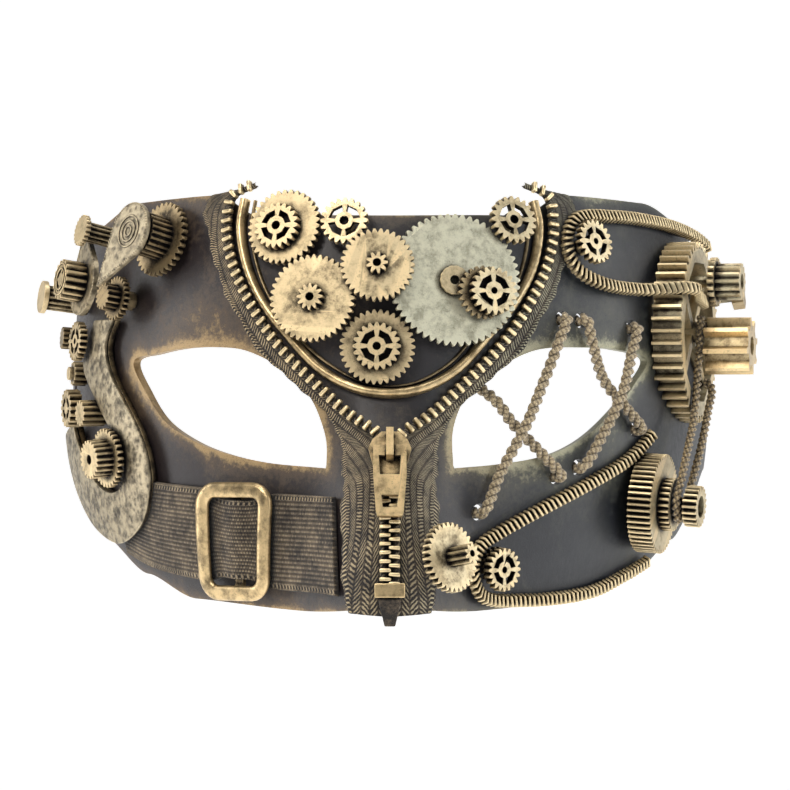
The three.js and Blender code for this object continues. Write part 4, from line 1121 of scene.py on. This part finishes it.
def zipper_tape(side, word):
    inner = [Vector(p) for p in tooth_line(side)]
    inner[-1] = Vector((side * 0.5, -46.4, 0))
    inner[-2] = Vector((side * 0.4, -22, 0))
    inner[-3] = Vector((side * 0.4, CHAIN_TOP - 3, 0))
    outer = tape_outer(side)

    def place(u, v):
        a, b = spline(inner, u), spline(outer, u)
        spot = a.lerp(b, v)
        fray = 0.22 * math.sin(u * 61) * v**6 + 0.14 * math.sin(u * 173 + 1) * v**6
        crease = 0.16 * math.sin(v * 3.1 + u * 9) + 0.10 * math.sin(u * 37 + v * 4)
        hem = 0.35 * smoothstep(v, 0.82, 0.93) - 0.30 * smoothstep(v, 0.93, 1)
        return on_skin(spot.x + side * fray, spot.y, 1.22 + 0.35 * crease * (1 - v * 0.5) + hem * 0.5)

    def uv(u, v):
        a, b = spline(inner, u), spline(outer, u)
        width = (on_skin(a.x, a.y) - on_skin(b.x, b.y)).length
        return (u * TAPE_LONG, v * width)

    tape = grid("zipper_tape_" + word + "_cloth", 260, 30, place, uv,
                lambda v: smoothstep(v, 0.86, 0.9) * (1 - smoothstep(v, 0.95, 0.98)))
    if side < 0:
        tape.data.flip_normals()
    area = sum(p.area for p in tape.data.polygons)
    thickened(tape, TAPE_THICKNESS)
    smoothed(tape, 60)
    finished(tape, tape.name, TAPE, "zipper_weave", "mask", ["zipper_tape_" + word])
    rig.sheet(tape, flat=(TAPE_WIDE * MM, TAPE_LONG * MM), held="laid", rests_on=["mask_shell_fine"], area=area)


for side, word in ((-1, "left"), (1, "right")):
    zipper_tape(side, word)
    tooth_rows(side, word)

crisp_copy("zipper_bottom_stop", BRIGHT, "dark_brass", bevel=0.3, segments=3)
crisp_copy("zipper_tail", TAPE, "dark_brass", bevel=0.25)
crisp_copy("zipper_slider", BRIGHT, "old_gold", "slider", bevel=0.26, segments=3)
crisp_copy("zipper_pull", BRIGHT, "old_gold", "pull", bevel=0.24, segments=3)

# ---------------------------------------------------------------- strap and buckle
STRAP_MIDDLE = -30.2
STRAP_TOP = [(-51, 14.7), (-44, 12.7), (-33, 11.4), (-18, 10.2), (-8.3, 9.6)]
STRAP_BOTTOM = [(-53, -4.8), (-46, -7.8), (-36, -9.8), (-19, -11.6), (-8.3, -12)]
BUCKLE = {"foot": -44.4, "width": 20.8, "height": 27, "bar": 3.5, "corner": 3.6}


def buckle_angle(z):
    return mix(-26.8, -24.7, (z - BUCKLE["foot"]) / BUCKLE["height"])


def elastic_strap():
    top = [(a, STRAP_MIDDLE + z, 0) for a, z in STRAP_TOP]
    bottom = [(a, STRAP_MIDDLE + z, 0) for a, z in STRAP_BOTTOM]

    def place(u, v):
        spot = spline(top, u).lerp(spline(bottom, u), 1 - v)
        off = spot.x - buckle_angle(spot.y)
        pinch = 0.18 * math.exp(-((off / 5) ** 4))
        z = mix(spot.y, BUCKLE["foot"] + BUCKLE["height"] / 2, pinch)
        rise = 1.6 * math.exp(-((off / 2.5) ** 2))
        rib = 0.06 * math.cos(2 * math.pi * v * 20)
        return on_skin(spot.x, z, 1.8 + rise + rib)

    strap = grid("elastic_strap_webbing", 150, 84, place, lambda u, v: (u * 66, v * 22.4),
                 lambda v: max(smoothstep(abs(v - 0.5), 0.44, 0.455) - smoothstep(abs(v - 0.5), 0.475, 0.49), 0))
    area = sum(p.area for p in strap.data.polygons)
    thickened(strap, STRAP_THICKNESS)
    rounded_edges(strap, 0.3, 2, 55)
    smoothed(strap, 60)
    finished(strap, strap.name, STRAP, "elastic_weave", "mask", ["elastic_strap"])
    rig.sheet(strap, flat=(STRAP_WIDE * MM, STRAP_LONG * MM), held="stretched", rests_on=["mask_shell_fine"],
             area=area)


def strap_buckle():
    """A cast frame with round corners, bent to the cheek, and its hidden centre bar."""
    half_angle = BUCKLE["width"] / 1.51 / 2
    lift = 2.3

    def corner(x, y):
        z = BUCKLE["foot"] + BUCKLE["height"] / 2 + y
        return buckle_angle(z) + half_angle * x / (BUCKLE["width"] / 2), z

    half_x = (BUCKLE["width"] - BUCKLE["bar"]) / 2
    half_y = (BUCKLE["height"] - BUCKLE["bar"]) / 2
    line = []
    for cx, cy, start in ((1, 1, 0), (-1, 1, 90), (-1, -1, 180), (1, -1, 270)):
        for k in range(7):
            a = math.radians(start + 15 * k)
            line.append((cx * (half_x - BUCKLE["corner"]) + BUCKLE["corner"] * math.cos(a),
                         cy * (half_y - BUCKLE["corner"]) + BUCKLE["corner"] * math.sin(a)))
    dense = []
    for (x0, y0), (x1, y1) in zip(line, line[1:] + line[:1]):
        pieces = max(1, round(math.hypot(x1 - x0, y1 - y0) / 1.2))
        dense += [(mix(x0, x1, k / pieces), mix(y0, y1, k / pieces)) for k in range(pieces)]
    n = len(dense)

    def bulge(value, power):
        return math.copysign(abs(value) ** power, value)

    def place(u, v):
        i = round(u * n) % n
        x, y = dense[i]
        (xa, ya), (xb, yb) = dense[i - 1], dense[(i + 1) % n]
        run = Vector((xb - xa, yb - ya, 0)).normalized()
        out_x, out_y = run.y, -run.x
        a = 2 * math.pi * v
        wide = bulge(math.cos(a), 0.78) * BUCKLE["bar"] / 2
        high = bulge(math.sin(a), 0.85) * 1.05
        angle, z = corner(x + out_x * wide, y + out_y * wide)
        return on_skin(angle, z, lift + 1.0 + high)

    ring = grid("strap_buckle_ring", n, 20, place)
    turned_outwards(ring, merge=True)
    smoothed(ring, 60)
    bar = grid("strap_buckle_bar", 4, 16, lambda u, v: on_skin(
        *corner(mix(-1.1, 1.1, u), mix(-13, 13, v)), mix(1.5, lift + 0.9, smoothstep(abs(v - 0.5), 0.40, 0.45))))
    thickened(bar, 1.0)
    buckle = joined("strap_buckle_cast", [ring, bar])
    finished(buckle, buckle.name, BRIGHT, "old_gold", "mask", ["strap_buckle"])


elastic_strap()
strap_buckle()


# ---------------------------------------------------------------- hammered plates
HOOK_OUTER = [(-51, 21), (-53, 15), (-51.5, 9), (-47.5, 2), (-43.5, -6), (-41.8, -13), (-42, -20), (-45.5, -28),
              (-53, -32.5), (-61, -29.5), (-67, -22), (-70, -14), (-71, -7)]
HOOK_INNER = [(-57, 21), (-60.3, 13.5), (-60.5, 9.5), (-56.8, 3.5), (-52.5, -3), (-49, -8.5), (-47.8, -14),
              (-49.5, -19), (-53, -20.3), (-57.5, -18), (-61, -13), (-63.6, -8.5), (-65.5, -4)]


def hook_plate():
    outer = [(a, z, 0) for a, z in HOOK_OUTER]
    inner = [(a, z, 0) for a, z in HOOK_INNER]

    def layer(name, low, high, inset):
        def place(u, v):
            spot = spline(outer, u).lerp(spline(inner, u), mix(inset, 1 - inset, v))
            crown = 0.25 * math.sin(math.pi * v)
            return on_skin(spot.x, spot.y, high + crown)

        plate = grid(name, 130, 22, place)
        plate.data.flip_normals()
        thickened(plate, high - low)
        rounded_edges(plate, 0.42, 3, 50)
        smoothed(plate, 50)
        return plate

    face = layer("hook_plate_face", 2.35, 3.3, 0.0)
    finished(face, "hook_plate_face", PEWTER, "pewter", "mask", ["hook_plate"])
    backing = layer("hook_plate_backing", 0.5, 2.1, 0.03)
    finished(backing, "hook_plate_backing", BRASS, "pewter")


hook_plate()
crisp_copy("arm_plate_upper", PEWTER, "pewter", bevel=0.3, segments=3)
crisp_copy("arm_plate_side", PEWTER, "pewter", bevel=0.3, segments=3)


def raised_rings(name, angle, z, lift, radii, thickness, material):
    """Concentric raised lines on a plate."""
    rings = []
    for radius in radii:
        nothing_selected()
        bpy.ops.mesh.primitive_torus_add(major_radius=radius * MM, minor_radius=thickness * MM,
                                         major_segments=40, minor_segments=8)
        ring = bpy.context.object
        ring.data.transform(standing(angle, z, lift))
        rings.append(ring)
    piece = joined(name, rings)
    smoothed(piece, 80)
    finished(piece, name, material, "pewter")


raised_rings("arm_plate_spiral", -41.7, 39.6, 10.75, (1.2, 2.5, 3.8), 0.26, PEWTER)
raised_rings("side_gear_rings", -57.9, 29.6, 12.35, (2.6, 3.9), 0.2, GILT)


def knurled_edge(name, place, radius, tip, bead, spacing, material):
    """A row of beads just inside a teardrop plate's edge."""
    towards = math.atan2(tip[1], tip[0])
    touch = math.acos(radius / math.hypot(*tip))
    inset = radius - bead
    arc = [towards + touch + (2 * math.pi - 2 * touch) * k / 40 for k in range(41)]
    end = [(tip[0] * 0.93, tip[1] * 0.93, 0)]
    line = end + [(inset * math.cos(a), inset * math.sin(a), 0) for a in arc] + end
    nothing_selected()
    bpy.ops.mesh.primitive_uv_sphere_add(segments=8, ring_count=5, radius=bead * MM)
    model = bpy.context.object
    smoothed(model, 80)
    places = []
    for a, b in zip(line, line[1:]):
        a, b = Vector(a), Vector(b)
        count = max(1, round((b - a).length / spacing))
        places += [standing(*place) @ Matrix.Translation(a.lerp(b, k / count) * MM) for k in range(count)]
    piece = joined(name, copies(model, places))
    finished(piece, name, material, "pewter")


knurled_edge("arm_plate_knurl", (-41.7, 39.6, 10.6), 7.2, (-9.4, -13.4), 0.3, 0.72, PEWTER)
knurled_edge("side_plate_knurl", (-57.5, 29.5, 6.7), 8, (-4, 14), 0.3, 0.72, PEWTER)

# ---------------------------------------------------------------- gears and other metal pieces
DARK = ("window_gear_right_base", "temple_left_gear_upper", "temple_left_gear_under_arm", "temple_left_gear_back",
        "cheek_gear_behind", "hex_bolt")
GEAR_FINISH = {node: BRASS for node in DARK}
GEAR_FINISH.update(window_gear_silver=SILVER, ring_gear=RIBBED, ring_pinion=BRIGHT, stacked_gear_large=RIBBED)
GEAR_SLOT = {"window_gear_silver": "silver_gold", "hex_bolt": "dark_brass"}
shaped = {"mask_shell", "window_bezel", "elastic_strap", "strap_buckle", "hook_plate", "arm_plate_upper",
          "arm_plate_side", "belt_upper", "belt_lower", "temple_rope"}
for node in sorted(frame["nodes"]):
    if node in shaped or node.startswith(("zipper_", "lacing_")):
        continue
    large = node in ("ring_gear", "ring_pinion", "stacked_gear_large")
    crisp_copy(node, GEAR_FINISH.get(node, GILT), GEAR_SLOT.get(node, "old_gold"), bevel=0.2 if large else 0.13)

# ---------------------------------------------------------------- backdrop
nothing_selected()
bpy.ops.mesh.primitive_plane_add(size=6, location=(0, 1.2, -0.24))
floor = bpy.context.object
floor.name = "floor"
only(floor)
editing("EDGE", "DESELECT")
sheet = bmesh.from_edit_mesh(floor.data)
for edge_line in sheet.edges:
    edge_line.select = all(v.co.y > 0 for v in edge_line.verts)
bmesh.update_edit_mesh(floor.data)
bpy.ops.mesh.extrude_region_move(TRANSFORM_OT_translate={"value": (0, 0, 4)})
bpy.ops.object.mode_set(mode="OBJECT")
applied(floor, "BEVEL", width=1.2, segments=14, limit_method="ANGLE", angle_limit=math.radians(50))
smoothed(floor, 60)
floor_finish = Finish("floor_paper", roughness=0.9, emission_color=(1, 1, 1, 1), emission_strength=0.62)
grain = floor_finish.noise(8, 4, 0.6)
floor.data.materials.append(floor_finish.connect(
    base_color=floor_finish.colours(grain, [(0.3, (0.93, 0.93, 0.93)), (0.7, (0.95, 0.95, 0.95))]),
    normal=floor_finish.bump(grain, 0.05)))
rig.stage(floor)

visual_box = [list(corner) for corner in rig.bounds()]
with open("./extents.json", "w") as out_file:
    json.dump({"cad": CAD_BOX, "visual": visual_box}, out_file)
